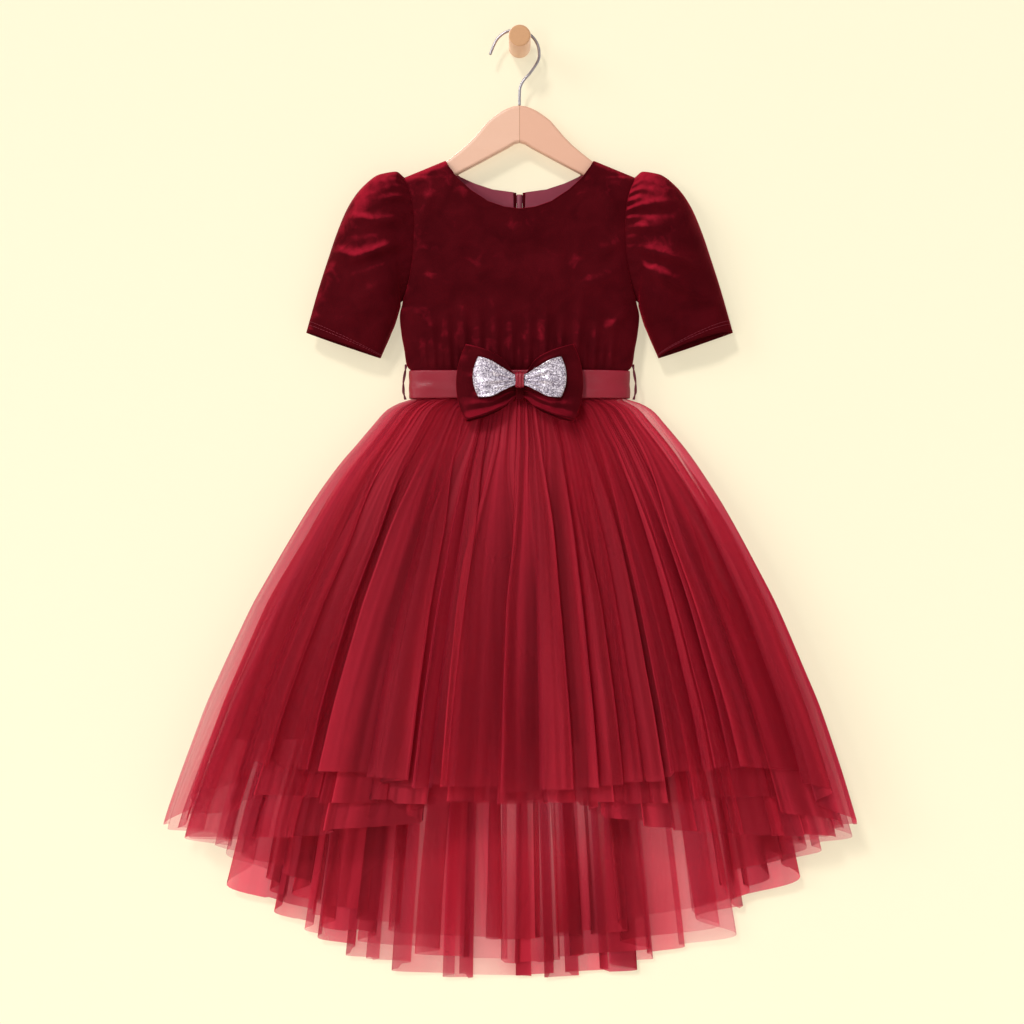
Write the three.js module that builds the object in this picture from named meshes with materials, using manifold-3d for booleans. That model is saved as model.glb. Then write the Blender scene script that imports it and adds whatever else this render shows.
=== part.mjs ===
// A toddler's high-low party dress of velvet and net, hanging on a wooden hanger from a wall peg.
// Millimetres, +Z up, +X to the right, -Y towards the viewer. The origin is the centre of the
// peg's flat back face, which lies on the wall.
import * as THREE from "three";
import { mergeVertices } from "three/addons/utils/BufferGeometryUtils.js";
import Module from "manifold-3d";

// Driving sizes of the cloth
const seamGap = 0.3;
const velvetWall = 1.4;
const satinWall = 1.2;
const netWall = 1.3;
const liningWall = 1.0;

// Driving sizes of the hard pieces
const pegRadius = 12.5;
const pegLength = 55;
const pegChamfer = 2;
const pegSides = 28;
const wireRadius = 1.65;
const hangerThickness = 12;
const hangerBevel = 2.5;
const hangerMiddle = -18;

// Heights of the garment's main lines
const shoulderTop = -132.8;
const armholeTop = -152;
const armholeBottom = -296;
const armholeOpening = 10.5;
const panelStep = -206;
const beltTop = -370.8;
const beltBottom = -401.8;
const waistSeam = -396;
const flareStart = -402.4;

const finishes = {
  velvet: new THREE.MeshStandardMaterial({ color: 0x4b0810, roughness: 0.75, metalness: 0 }),
  satin: new THREE.MeshStandardMaterial({ color: 0xa5233c, roughness: 0.35, metalness: 0 }),
  lining: new THREE.MeshStandardMaterial({ color: 0x7a2d44, roughness: 0.45, metalness: 0 }),
  net: new THREE.MeshStandardMaterial({ color: 0x961c2b, roughness: 0.8, metalness: 0 }),
  glitter: new THREE.MeshStandardMaterial({ color: 0xc8becd, roughness: 0.35, metalness: 0.5 }),
  wood: new THREE.MeshStandardMaterial({ color: 0xe6b79a, roughness: 0.55, metalness: 0 }),
  steel: new THREE.MeshStandardMaterial({ color: 0x9a9298, roughness: 0.25, metalness: 1 }),
};

const dress = new THREE.Group();

function addPiece(name, geometry, finish) {
  const piece = new THREE.Mesh(geometry, finishes[finish]);
  piece.name = name;
  dress.add(piece);
  return piece;
}

// The value of one column of a table at a key between two of its rows
function readTable(table, keyName, columnName, key) {
  const falling = table[0][keyName] > table[table.length - 1][keyName];
  const rows = falling ? [...table].reverse() : table;
  if (key <= rows[0][keyName]) return rows[0][columnName];
  for (let i = 1; i < rows.length; i++) {
    if (key <= rows[i][keyName]) {
      const share = (key - rows[i - 1][keyName]) / (rows[i][keyName] - rows[i - 1][keyName]);
      return rows[i - 1][columnName] + share * (rows[i][columnName] - rows[i - 1][columnName]);
    }
  }
  return rows[rows.length - 1][columnName];
}

// A wall between two grids of points, closed round its columns where asked
function wallBetween(outer, inner, closed) {
  const rows = outer.length;
  const columns = outer[0].length;
  const positions = [...outer.flat(), ...inner.flat()].flatMap((p) => [p.x, p.y, p.z]);
  const outerAt = (row, column) => row * columns + (column % columns);
  const innerAt = (row, column) => (rows + row) * columns + (column % columns);
  const spans = closed ? columns : columns - 1;
  const last = rows - 1;
  const faces = [];
  const addQuad = (a, b, c, d) => faces.push(a, b, c, a, c, d);
  for (let c = 0; c < spans; c++) {
    for (let r = 0; r < last; r++) {
      addQuad(outerAt(r, c), outerAt(r, c + 1), outerAt(r + 1, c + 1), outerAt(r + 1, c));
      addQuad(innerAt(r, c), innerAt(r + 1, c), innerAt(r + 1, c + 1), innerAt(r, c + 1));
    }
    addQuad(outerAt(0, c), innerAt(0, c), innerAt(0, c + 1), outerAt(0, c + 1));
    addQuad(outerAt(last, c), outerAt(last, c + 1), innerAt(last, c + 1), innerAt(last, c));
  }
  if (!closed) {
    const end = columns - 1;
    for (let r = 0; r < last; r++) {
      addQuad(outerAt(r, 0), outerAt(r + 1, 0), innerAt(r + 1, 0), innerAt(r, 0));
      addQuad(outerAt(r, end), innerAt(r, end), innerAt(r + 1, end), outerAt(r + 1, end));
    }
  }
  const point = (i) => new THREE.Vector3(...positions.slice(3 * i, 3 * i + 3));
  let volume = 0;
  for (let i = 0; i < faces.length; i += 3) {
    volume += point(faces[i]).dot(point(faces[i + 1]).cross(point(faces[i + 2])));
  }
  if (volume < 0) faces.reverse();
  const geometry = new THREE.BufferGeometry();
  geometry.setAttribute("position", new THREE.Float32BufferAttribute(positions, 3));
  geometry.setIndex(faces);
  return geometry;
}

// The same grid moved by a distance along its own normals
function offsetGrid(grid, distance, closed) {
  const rows = grid.length;
  const columns = grid[0].length;
  return grid.map((row, r) =>
    row.map((p, c) => {
      const above = grid[Math.max(r - 1, 0)][c];
      const below = grid[Math.min(r + 1, rows - 1)][c];
      const before = closed ? row[(c + columns - 1) % columns] : row[Math.max(c - 1, 0)];
      const after = closed ? row[(c + 1) % columns] : row[Math.min(c + 1, columns - 1)];
      const down = below.clone().sub(above);
      const along = after.clone().sub(before);
      return p.clone().addScaledVector(down.cross(along).normalize(), distance);
    }),
  );
}

// Bodice: half width, half depth and middle plane of its section at each height
const bodiceSections = [
  { z: -132, half: 131, depth: 11.5, middle: -18 },
  { z: -153, half: 130.5, depth: 12.5, middle: -18.5 },
  { z: -165, half: 126, depth: 13.5, middle: -19 },
  { z: -181, half: 121.5, depth: 14.5, middle: -19.5 },
  { z: -206, half: 119.5, depth: 15.5, middle: -20 },
  { z: -234, half: 120, depth: 16, middle: -20.5 },
  { z: -257, half: 122.5, depth: 16.5, middle: -21 },
  { z: -276, half: 126.5, depth: 17, middle: -21 },
  { z: -294, half: 132, depth: 17, middle: -21 },
  { z: -309, half: 135.3, depth: 17, middle: -21 },
  { z: -330, half: 133.3, depth: 17.3, middle: -21.5 },
  { z: -348, half: 130, depth: 17.6, middle: -22 },
  { z: -362, half: 128, depth: 17.8, middle: -22 },
  { z: -367.5, half: 126, depth: 17.6, middle: -22 },
  { z: -370, half: 122.5, depth: 16.8, middle: -22 },
  { z: -396, half: 122.5, depth: 16.8, middle: -22 },
];

// Upper edges of the panels from the centre line out: the neckline, then the shoulder
const neckHalf = 83.9;
const shoulderEnd = { x: 131, z: armholeTop };
const frontEdge = [
  { x: 0, z: -189.3 },
  { x: 19.3, z: -187 },
  { x: 38.7, z: -180.6 },
  { x: 58, z: -167.7 },
  { x: 71, z: -153.1 },
  { x: 80, z: -140.5 },
  { x: neckHalf, z: shoulderTop },
  shoulderEnd,
];
const backEdge = [
  { x: 0, z: -167.5 },
  { x: 32.4, z: -163.3 },
  { x: 51.9, z: -156.8 },
  { x: 68.3, z: -149.3 },
  { x: 80, z: -140 },
  { x: neckHalf, z: shoulderTop },
  shoulderEnd,
];

const bodiceAt = (column, z) => readTable(bodiceSections, "z", column, z);
const sectionPower = 3;
const shoulderTurn = 9; // height over which the cloth turns over the hanger's arm

// Half opening of the armhole at a height
function armholeAt(z) {
  const middle = (armholeTop + armholeBottom) / 2;
  const reach = Math.abs((z - middle) / ((armholeTop - armholeBottom) / 2));
  return reach >= 1 ? 0 : armholeOpening * (1 - reach ** 2.5) ** 0.4;
}

// A point of the bodice: facing -1 is the front and 1 the back; across runs from -1 to 1
function bodicePoint(facing, across, z, inset, bump = 0) {
  const width = Math.abs(across);
  const ridge =
    width * shoulderEnd.x < neckHalf
      ? shoulderTop
      : readTable(frontEdge, "x", "z", width * shoulderEnd.x);
  const drop = Math.min(1, Math.max(0, (ridge - z) / shoulderTurn));
  const turn = Math.sqrt(1 - (1 - drop) ** 2);
  const opening = armholeAt(z);
  const crown = (1 - width ** sectionPower) ** (1 / sectionPower);
  const offset = opening + (bodiceAt("depth", z) - inset - opening) * crown;
  return new THREE.Vector3(
    across * (bodiceAt("half", z) - inset),
    bodiceAt("middle", z) + facing * (seamGap / 2 + turn * offset + bump * crown),
    z,
  );
}

const upperSteps = [0, 0.02, 0.07, 0.15, 0.5];
const lowerHeights = [panelStep, -234, -257, -276, -294, -309, -330, -358, -367.5, -370, waistSeam];
const gatherHeight = [
  { z: -235, height: 0 },
  { z: -309, height: 0.5 },
  { z: -358, height: 1.1 },
  { z: -367, height: 0.9 },
  { z: -370, height: 0.1 },
];

// One bodice panel between two shares of the width
function bodicePanel(facing, edge, acrossList, wall, inset, lowest) {
  const heights = lowerHeights.filter((z) => z >= lowest);
  const grid = (depth) => {
    const rows = [];
    for (const step of upperSteps) {
      rows.push(
        acrossList.map((a) => {
          const topZ = readTable(edge, "x", "z", Math.abs(a) * shoulderEnd.x);
          const top = topZ - (Math.abs(a) * shoulderEnd.x > neckHalf ? depth : 0);
          return bodicePoint(facing, a, top + step * (panelStep - top), depth);
        }),
      );
    }
    for (const z of heights) {
      rows.push(
        acrossList.map((a, i) => {
          const gather = readTable(gatherHeight, "z", "height", z) * (i % 2 ? 1 : -1);
          return bodicePoint(facing, a, z, depth, inset > 0 ? 0 : gather);
        }),
      );
    }
    return rows;
  };
  return wallBetween(grid(inset), grid(inset + wall), false);
}

const neckShare = neckHalf / shoulderEnd.x;
const halfFront = [0, 0.1, 0.2, 0.3, 0.4, 0.48, 0.56, neckShare, 0.73, 0.82, 0.9, 0.96, 1];
const frontAcross = [...halfFront.slice(1).reverse().map((a) => -a), ...halfFront];
addPiece(
  "bodice_front",
  bodicePanel(-1, frontEdge, frontAcross, velvetWall, 0, waistSeam),
  "velvet",
);

const zipSlotHalf = 3.7;
const slotShare = zipSlotHalf / shoulderEnd.x;
const halfBack = [slotShare, 0.15, 0.28, 0.4, 0.5, 0.58, neckShare, 0.75, 0.86, 0.94, 1];
const liningAcross = [0.07, 0.2, 0.32, 0.44, 0.52, 0.57];
for (const [side, sign] of [["left", -1], ["right", 1]]) {
  const mirror = (list) => list.map((a) => sign * a);
  addPiece(
    "bodice_back_" + side,
    bodicePanel(1, backEdge, mirror(halfBack), velvetWall, 0, waistSeam),
    "velvet",
  );
  addPiece(
    "neck_lining_" + side,
    bodicePanel(1, backEdge, mirror(liningAcross), liningWall, velvetWall + seamGap, -250),
    "lining",
  );
}

// Sleeve: each row is a flattened ring from its outer edge to its inner edge
const sleeveSections = [
  { outX: 131, outZ: -152.5, inX: 131, inZ: -290.4, front: 12, back: 12, gather: 0 },
  { outX: 139.6, outZ: -145.5, inX: 134, inZ: -297.2, front: 19, back: 14, gather: 1.3 },
  { outX: 157.7, outZ: -148.6, inX: 136.4, inZ: -305.1, front: 24, back: 15, gather: 1 },
  { outX: 178, outZ: -163.8, inX: 138.4, inZ: -311.9, front: 27, back: 16, gather: 0.6 },
  { outX: 193.3, outZ: -185.3, inX: 141, inZ: -319.8, front: 28, back: 16, gather: 0.3 },
  { outX: 206.8, outZ: -216.8, inX: 144, inZ: -326.6, front: 26, back: 16, gather: 0 },
  { outX: 215.5, outZ: -242.5, inX: 147.5, inZ: -335.1, front: 22, back: 15, gather: 0 },
  { outX: 226.8, outZ: -277.5, inX: 151.8, inZ: -344.7, front: 18, back: 14, gather: 0 },
  { outX: 241, outZ: -327.5, inX: 157, inZ: -356.3, front: 14, back: 13, gather: 0 },
];
const sleeveMiddle = -20;
const sleevePoints = 24;
const sleeveRoundness = 0.8;
const seamClearance = seamGap + 0.15; // the seam's chords need a little more than the gap itself

// The long folds that run across the front of a sleeve from the armhole seam, sagging between ends
const foldSag = 14;
const sleeveFolds = [
  { fromX: 129, fromZ: -231, toX: 214, toZ: -244, height: 3.5, width: 11 },
  { fromX: 130, fromZ: -200, toX: 185, toZ: -205, height: 2.5, width: 9 },
  { fromX: 133, fromZ: -262, toX: 222, toZ: -292, height: 2.5, width: 12 },
];

function foldHeight(x, z) {
  let height = 0;
  for (const fold of sleeveFolds) {
    const share = (x - fold.fromX) / (fold.toX - fold.fromX);
    const ridge = fold.fromZ + share * (fold.toZ - fold.fromZ) - foldSag * share * (1 - share);
    const fade = Math.min(1, Math.max(0, 4 * share * (1 - share)));
    height += fade * fold.height * Math.exp(-(((z - ridge) / fold.width) ** 2));
  }
  return height;
}

function sleevePoint(sign, section, index, inset) {
  const angle = (2 * Math.PI * index) / sleevePoints;
  const along = Math.cos(angle);
  const around = Math.sin(angle);
  const middleX = (section.outX + section.inX) / 2;
  const middleZ = (section.outZ + section.inZ) / 2;
  const reachX = (section.outX - section.inX) / 2;
  const reachZ = (section.outZ - section.inZ) / 2;
  const reach = Math.hypot(reachX, reachZ);
  const shrink = (reach - inset) / reach;
  const z = middleZ + along * reachZ * shrink;
  const isSeam = section === sleeveSections[0];
  const x = isSeam ? bodiceAt("half", z) + seamClearance : middleX + along * reachX * shrink;
  const gather = section.gather * (index % 2 ? 1 : -1);
  const depth = around > 0 ? section.front + (isSeam ? 0 : foldHeight(x, z)) : section.back;
  const rounded = Math.sign(around) * Math.abs(around) ** sleeveRoundness;
  return new THREE.Vector3(sign * x, sleeveMiddle - rounded * (depth - inset + gather), z);
}

for (const [side, sign] of [["left", -1], ["right", 1]]) {
  const grid = (inset) =>
    sleeveSections.map((section) =>
      Array.from({ length: sleevePoints }, (_, i) => sleevePoint(sign, section, i, inset)),
    );
  addPiece("sleeve_" + side, wallBetween(grid(0), grid(velvetWall), true), "velvet");
}

// A unit section that is nearly flat in front and behind, with its points spread evenly round
const skirtPower = 2.4;
const sectionRatio = 0.13;
const roundTable = [];
{
  const count = 720;
  let length = 0;
  let previous = null;
  for (let i = 0; i <= count; i++) {
    const angle = (2 * Math.PI * i) / count;
    const x = Math.sign(Math.sin(angle)) * Math.abs(Math.sin(angle)) ** (2 / skirtPower);
    const y = -Math.sign(Math.cos(angle)) * Math.abs(Math.cos(angle)) ** (2 / skirtPower);
    if (previous) length += Math.hypot(x - previous.x, (y - previous.y) * sectionRatio);
    previous = { length, x, y };
    roundTable.push(previous);
  }
}

function unitPoint(share) {
  const key = share * roundTable[roundTable.length - 1].length;
  return {
    x: readTable(roundTable, "length", "x", key),
    y: readTable(roundTable, "length", "y", key),
  };
}

// Sash belt: a flat band round the waist over the bodice
const beltHalf = 124.5;
const beltDepth = 18.6;
const beltMiddle = -22;
const beltPoints = 36;
const beltHeights = [beltTop, (beltTop + beltBottom) / 2, beltBottom];
const beltSwell = 0.25; // the band's middle stands out from its edges
{
  const grid = (inset) =>
    beltHeights.map((z, row) =>
      Array.from({ length: beltPoints }, (_, i) => {
        const angle = (2 * Math.PI * i) / beltPoints;
        const power = 2 / sectionPower;
        const swell = row === 1 ? beltSwell : 0;
        const c = Math.cos(angle);
        const s = Math.sin(angle);
        return new THREE.Vector3(
          Math.sign(c) * Math.abs(c) ** power * (beltHalf - inset + swell),
          beltMiddle + Math.sign(s) * Math.abs(s) ** power * (beltDepth - inset + swell),
          z,
        );
      }),
    );
  addPiece("sash_belt", wallBetween(grid(0), grid(satinWall), true), "satin");
}

// Skirt: outline of the outer net at each height, with its sideways shift
const skirtSections = [
  { z: -396.3, half: 122, depth: 16.6, middle: -22, shift: 0 },
  { z: -402.4, half: 122.2, depth: 16.8, middle: -22, shift: 0 },
  { z: -406, half: 134, depth: 18.5, middle: -22.3, shift: 0 },
  { z: -415, half: 151, depth: 19.8, middle: -23.2, shift: 0 },
  { z: -432, half: 166.5, depth: 22, middle: -25, shift: 0 },
  { z: -454, half: 185, depth: 25.5, middle: -28.3, shift: 0 },
  { z: -471, half: 198.8, depth: 28, middle: -30.6, shift: -1 },
  { z: -496, half: 216.7, depth: 31, middle: -33.5, shift: -2 },
  { z: -521, half: 233, depth: 33, middle: -35.5, shift: -2.5 },
  { z: -565, half: 258.6, depth: 36, middle: -38.5, shift: -3.4 },
  { z: -601, half: 278.6, depth: 38, middle: -40.5, shift: -4.4 },
  { z: -632, half: 295.3, depth: 39.5, middle: -42, shift: -5.3 },
  { z: -668, half: 312, depth: 41, middle: -43.5, shift: -6 },
  { z: -704, half: 328, depth: 42.5, middle: -45, shift: -6.8 },
  { z: -743, half: 345, depth: 44, middle: -46.5, shift: -7.3 },
  { z: -782, half: 359.3, depth: 45.3, middle: -47.8, shift: -7.8 },
  { z: -821, half: 373, depth: 46.4, middle: -48.9, shift: -8.5 },
  { z: -868, half: 388.3, depth: 47.4, middle: -49.9, shift: -9.5 },
  { z: -918, half: 401.8, depth: 48, middle: -50.5, shift: -9.5 },
  { z: -1007, half: 425, depth: 48.5, middle: -51, shift: -9.5 },
  { z: -1065, half: 438, depth: 48.5, middle: -51, shift: -9.5 },
];
const skirtAt = (column, z) => readTable(skirtSections, "z", column, z);

// How much wider a layer is set apart at the sides, where the skirt flares steeply
const sideSpread = [
  { z: -402, factor: 1.3 },
  { z: -406, factor: 3 },
  { z: -418, factor: 2.6 },
  { z: -440, factor: 1.7 },
  { z: -520, factor: 1.35 },
  { z: -700, factor: 1.2 },
];

// Hem heights by the share of the half width, on the front half and on the back half
const frontHems = [
  { share: 0, outer: -834, middle: -851, inner: -848, lining: -790 },
  { share: 0.23, outer: -831, middle: -850, inner: -851, lining: -789 },
  { share: 0.35, outer: -825, middle: -849, inner: -872, lining: -788 },
  { share: 0.53, outer: -815, middle: -848, inner: -884, lining: -787 },
  { share: 0.74, outer: -807, middle: -845, inner: -886, lining: -784 },
  { share: 0.92, outer: -845, middle: -862, inner: -888, lining: -783 },
  { share: 1, outer: -878, middle: -882, inner: -892, lining: -783 },
];
const backHems = [
  { share: 0, outer: -1062, middle: -1046, inner: -1030, lining: -790 },
  { share: 0.21, outer: -1052, middle: -1037, inner: -1021, lining: -789 },
  { share: 0.38, outer: -1035, middle: -1020, inner: -1005, lining: -788 },
  { share: 0.55, outer: -1003, middle: -990, inner: -977, lining: -787 },
  { share: 0.72, outer: -955, middle: -944, inner: -935, lining: -785 },
  { share: 0.86, outer: -905, middle: -902, inner: -900, lining: -784 },
  { share: 1, outer: -878, middle: -882, inner: -892, lining: -783 },
];

// The layers from the outside in: folds across each panel, the shape of one fold, its depth at the
// waist and at the fullest height, and the space that the layer leaves to the one outside it
const foldWave = [0, 1, 0, -1];
const pleatWave = [0, 1, -1];
const skirtLayers = [
  { name: "tulle_outer", hem: "outer", folds: 18, wave: foldWave, waist: 0.9, full: 6.5, gap: 0 },
  { name: "tulle_middle", hem: "middle", folds: 13, wave: pleatWave, waist: 0.5, full: 4, gap: 0.8 },
  { name: "tulle_inner", hem: "inner", folds: 9, wave: pleatWave, waist: 0.4, full: 3, gap: 0.8 },
  { name: "skirt_lining", hem: "lining", folds: 6, wave: pleatWave, waist: 0.3, full: 1.8, gap: 4.5 },
];
const layerSteps = [0, 0.05, 0.17, 0.38, 0.66, 1];
const backFlatness = 0.4; // the back hangs against the wall, so its folds are pressed this flat
const waistSpace = 0.3; // share of a layer's space that it has at the waist
const spaceRise = 60; // height below the waist over which the space opens
const foldUnevenness = 0.3;
const fadeFrom = 0.9; // share of the half width past which the folds grow shallow
const fadeRate = 4;
const foldTurn = 2.4; // angle between one fold's unevenness and the next

const waistHalf = skirtSections[0].half;
const fullHalf = skirtSections[skirtSections.length - 1].half;
const skirtGrowth = (z) => (skirtAt("half", z) - waistHalf) / (fullHalf - waistHalf);
const foldDepth = (layer, z) => layer.waist + (layer.full - layer.waist) * skirtGrowth(z);
const layerWall = (layer) => (layer.hem === "lining" ? satinWall : netWall);

// Columns of a layer's front (facing -1) or back panel, from one side seam to the other: where each
// stands round the skirt and how far it is folded out or in
function foldColumns(layer, layerIndex, facing) {
  const widths = Array.from(
    { length: layer.folds },
    (_, k) => 1 + foldUnevenness * Math.sin(k * foldTurn + layerIndex + facing),
  );
  const total = widths.reduce((sum, w) => sum + w, 0);
  const firstSeam = facing < 0 ? 0.75 : 0.25;
  const columnAt = (part) => unitPoint((firstSeam + part / 2) % 1);
  const columns = [];
  let start = 0;
  widths.forEach((width, k) => {
    const height = 0.8 + 0.2 * Math.cos(k * foldTurn * 1.7 + layerIndex);
    layer.wave.forEach((wave, i) => {
      const part = (start + (width * i) / layer.wave.length) / total;
      columns.push({ ...columnAt(part), wave: wave * height });
    });
    start += width;
  });
  columns.push({ ...columnAt(1), wave: 0 });
  for (const end of [columns[0], columns[columns.length - 1]]) end.atSeam = true;
  return columns;
}

function skirtPoint(layer, insideOf, facing, column, z) {
  const spread = readTable(sideSpread, "z", "factor", z);
  const fold = foldDepth(layer, z);
  const flatness = facing > 0 ? backFlatness : 1;
  const half = skirtAt("half", z) - insideOf(z, 1) * spread - fold;
  const depth = skirtAt("depth", z) - insideOf(z, flatness) - fold * flatness;
  const slopeX = (Math.sign(column.x) * Math.abs(column.x) ** (skirtPower - 1)) / half;
  const slopeY = (Math.sign(column.y) * Math.abs(column.y) ** (skirtPower - 1)) / depth;
  const length = Math.hypot(slopeX, slopeY);
  const sideFade = 1 - Math.max(0, Math.abs(column.x) - fadeFrom) * fadeRate;
  const out = column.wave * fold * sideFade;
  const seam = column.atSeam ? (facing * seamGap) / 2 : 0;
  return new THREE.Vector3(
    skirtAt("shift", z) + column.x * half + (out * slopeX) / length,
    skirtAt("middle", z) + column.y * depth + (out * flatness * slopeY) / length + seam,
    z,
  );
}

// Wall of a panel, with its edges cut square at the side seams
function panelWall(grid, thickness) {
  const inner = offsetGrid(grid, -thickness, false);
  inner.forEach((row, r) => {
    for (const end of [0, row.length - 1]) row[end].y = grid[r][end].y;
  });
  return wallBetween(grid, inner, false);
}

{
  let innerFace = () => 0; // how far in the last layer reaches, in the front or pressed flat
  skirtLayers.forEach((layer, layerIndex) => {
    const outside = innerFace;
    const spaceAt = (z) => layer.gap * Math.min(1, waistSpace + (waistSeam - z) / spaceRise);
    const insideOf = (z, flatness) => outside(z, flatness) + flatness * spaceAt(z);
    const wall = layerWall(layer);
    for (const [side, facing, hems] of [["front", -1, frontHems], ["back", 1, backHems]]) {
      const columns = foldColumns(layer, layerIndex, facing);
      const pointAt = (column, z) => skirtPoint(layer, insideOf, facing, column, z);
      const hemOf = (column) => readTable(hems, "share", layer.hem, Math.abs(column.x));
      const grid = [
        columns.map((column) => pointAt(column, waistSeam - seamGap)),
        ...layerSteps.map((step) =>
          columns.map((column) => pointAt(column, flareStart + step * (hemOf(column) - flareStart))),
        ),
      ];
      addPiece(layer.name + "_" + side, panelWall(grid, wall), layer.hem === "lining" ? "satin" : "net");
    }
    innerFace = (z, flatness) =>
      insideOf(z, flatness) + 2 * flatness * foldDepth(layer, z) + wall + seamGap;
  });
}

// Bow: a folded band from the middle out along its front, round the end and back behind
const bowPath = [
  { along: 0.06, front: 0.58 },
  { along: 0.22, front: 0.74 },
  { along: 0.45, front: 0.92 },
  { along: 0.7, front: 1 },
  { along: 0.9, front: 0.86 },
  { along: 1, front: 0.5 },
  { along: 0.9, front: 0.16 },
  { along: 0.7, front: 0 },
  { along: 0.4, front: 0 },
  { along: 0.2, front: 0.1 },
  { along: 0.06, front: 0.28 },
];
const bowColumns = [0, 0.2, 0.4, 0.6, 0.8, 1];
const bowLean = 0.28; // how fast the bow stands forward over the skirt, below the sash
const velvetBow = {
  reach: 60,
  swell: 11,
  puff: 15,
  back: -41.2,
  wall: velvetWall,
  crease: 1.2,
  edges: [
    { along: 0, top: -379, bottom: -400 },
    { along: 0.1, top: -376.5, bottom: -402.5 },
    { along: 0.3, top: -360, bottom: -414 },
    { along: 0.62, top: -349.5, bottom: -423.5 },
    { along: 1, top: -342.6, bottom: -430.5 },
  ],
};
const glitterBow = {
  reach: 46,
  swell: 6,
  puff: 8,
  back: -56.7,
  wall: 1.2,
  crease: 0.6,
  edges: [
    { along: 0, top: -379, bottom: -388 },
    { along: 0.12, top: -378, bottom: -389 },
    { along: 0.4, top: -370.5, bottom: -395 },
    { along: 0.75, top: -361, bottom: -402 },
    { along: 1, top: -357.5, bottom: -402.6 },
  ],
};

function bowWing(bow, sign) {
  const grid = bowPath.map((step) =>
    bowColumns.map((share, i) => {
      const arch = 1 - (2 * share - 1) ** 2;
      const top = readTable(bow.edges, "along", "top", step.along);
      const bottom = readTable(bow.edges, "along", "bottom", step.along);
      const crease = step.front > 0.6 ? bow.crease * (i % 2 ? 1 : -1) * (1 - step.along) : 0;
      const z = top + share * (bottom - top);
      return new THREE.Vector3(
        sign * step.along * (bow.reach + bow.swell * arch),
        bow.back - bow.puff * step.front - crease - bowLean * Math.max(0, beltBottom - z),
        z,
      );
    }),
  );
  return wallBetween(grid, offsetGrid(grid, sign * bow.wall, false), false);
}

for (const [side, sign] of [["left", -1], ["right", 1]]) {
  addPiece("bow_velvet_" + side, bowWing(velvetBow, sign), "velvet");
  addPiece("bow_glitter_" + side, bowWing(glitterBow, sign), "glitter");
}

// The bands that go round the bow's middle: half sizes, width along X, wall and centre
const bandPoints = 24;
const bandRoundness = 0.5;
const velvetBand = { halfY: 5.7, halfZ: 16, width: 9, wall: velvetWall, y: -47.3, z: -389.5 };
const satinKnot = { halfY: 5.9, halfZ: 8.6, width: 10, wall: satinWall, y: -59.3, z: -383.5 };

function middleBand(band) {
  const outline = (inset) =>
    Array.from({ length: bandPoints }, (_, i) => {
      const angle = (2 * Math.PI * i) / bandPoints;
      const c = Math.cos(angle);
      const s = Math.sin(angle);
      return new THREE.Vector2(
        Math.sign(c) * Math.abs(c) ** bandRoundness * (band.halfY - inset),
        Math.sign(s) * Math.abs(s) ** bandRoundness * (band.halfZ - inset),
      );
    });
  const shape = new THREE.Shape(outline(0));
  shape.holes.push(new THREE.Path(outline(band.wall)));
  const geometry = new THREE.ExtrudeGeometry(shape, { depth: band.width, bevelEnabled: false });
  geometry.translate(0, 0, -band.width / 2);
  geometry.rotateX(Math.PI / 2);
  geometry.rotateZ(Math.PI / 2);
  geometry.translate(0, band.y, band.z);
  return geometry;
}
addPiece("bow_velvet_band", middleBand(velvetBand), "velvet");
addPiece("bow_knot", middleBand(satinKnot), "satin");

// Thread loops that hold the sash at the side seams
const loopPath = [
  { x: 128.1, z: -364 },
  { x: 129.2, z: -372 },
  { x: 131.2, z: -384 },
  { x: 131, z: -395 },
  { x: 129, z: -402.5 },
];
const threadRadius = 0.8;
const threadSteps = 8;
const loopShape = new THREE.Shape().absarc(0, 0, threadRadius, 0, 2 * Math.PI, false);
for (const [side, sign] of [["left", -1], ["right", 1]]) {
  const path = new THREE.CatmullRomCurve3(
    loopPath.map((p) => new THREE.Vector3(sign * p.x, beltMiddle, p.z)),
  );
  addPiece(
    "belt_loop_" + side,
    new THREE.ExtrudeGeometry(loopShape, { steps: threadSteps, curveSegments: 3, extrudePath: path }),
    "satin",
  );
}

// Zip at centre back: a coil in the slot between the back panels, its slider and its pull tab
const coilHalf = 3;
const coilTop = -169;
const coilHeights = [coilTop, ...lowerHeights];
{
  const grid = (inset) =>
    coilHeights.map((z) =>
      [-coilHalf, coilHalf].map(
        (x) => new THREE.Vector3(x, bodiceAt("middle", z) + bodiceAt("depth", z) - inset, z),
      ),
    );
  addPiece("zip_coil", wallBetween(grid(0), grid(velvetWall), false), "lining");
}

const wasm = await Module();
wasm.setup();

function toSolid(geometry) {
  geometry.deleteAttribute("normal");
  geometry.deleteAttribute("uv");
  const merged = mergeVertices(geometry, 1e-4);
  return new wasm.Manifold(
    new wasm.Mesh({
      numProp: 3,
      vertProperties: merged.attributes.position.array,
      triVerts: new Uint32Array(merged.index.array),
    }),
  );
}

function fromSolid(solid) {
  const mesh = solid.getMesh();
  const geometry = new THREE.BufferGeometry();
  geometry.setAttribute("position", new THREE.BufferAttribute(mesh.vertProperties, 3));
  geometry.setIndex(new THREE.BufferAttribute(mesh.triVerts, 1));
  return geometry;
}

// A box from its size along X, Y and Z and its centre
const block = (x, y, z, centre) => new THREE.BoxGeometry(x, y, z).translate(...centre);

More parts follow.
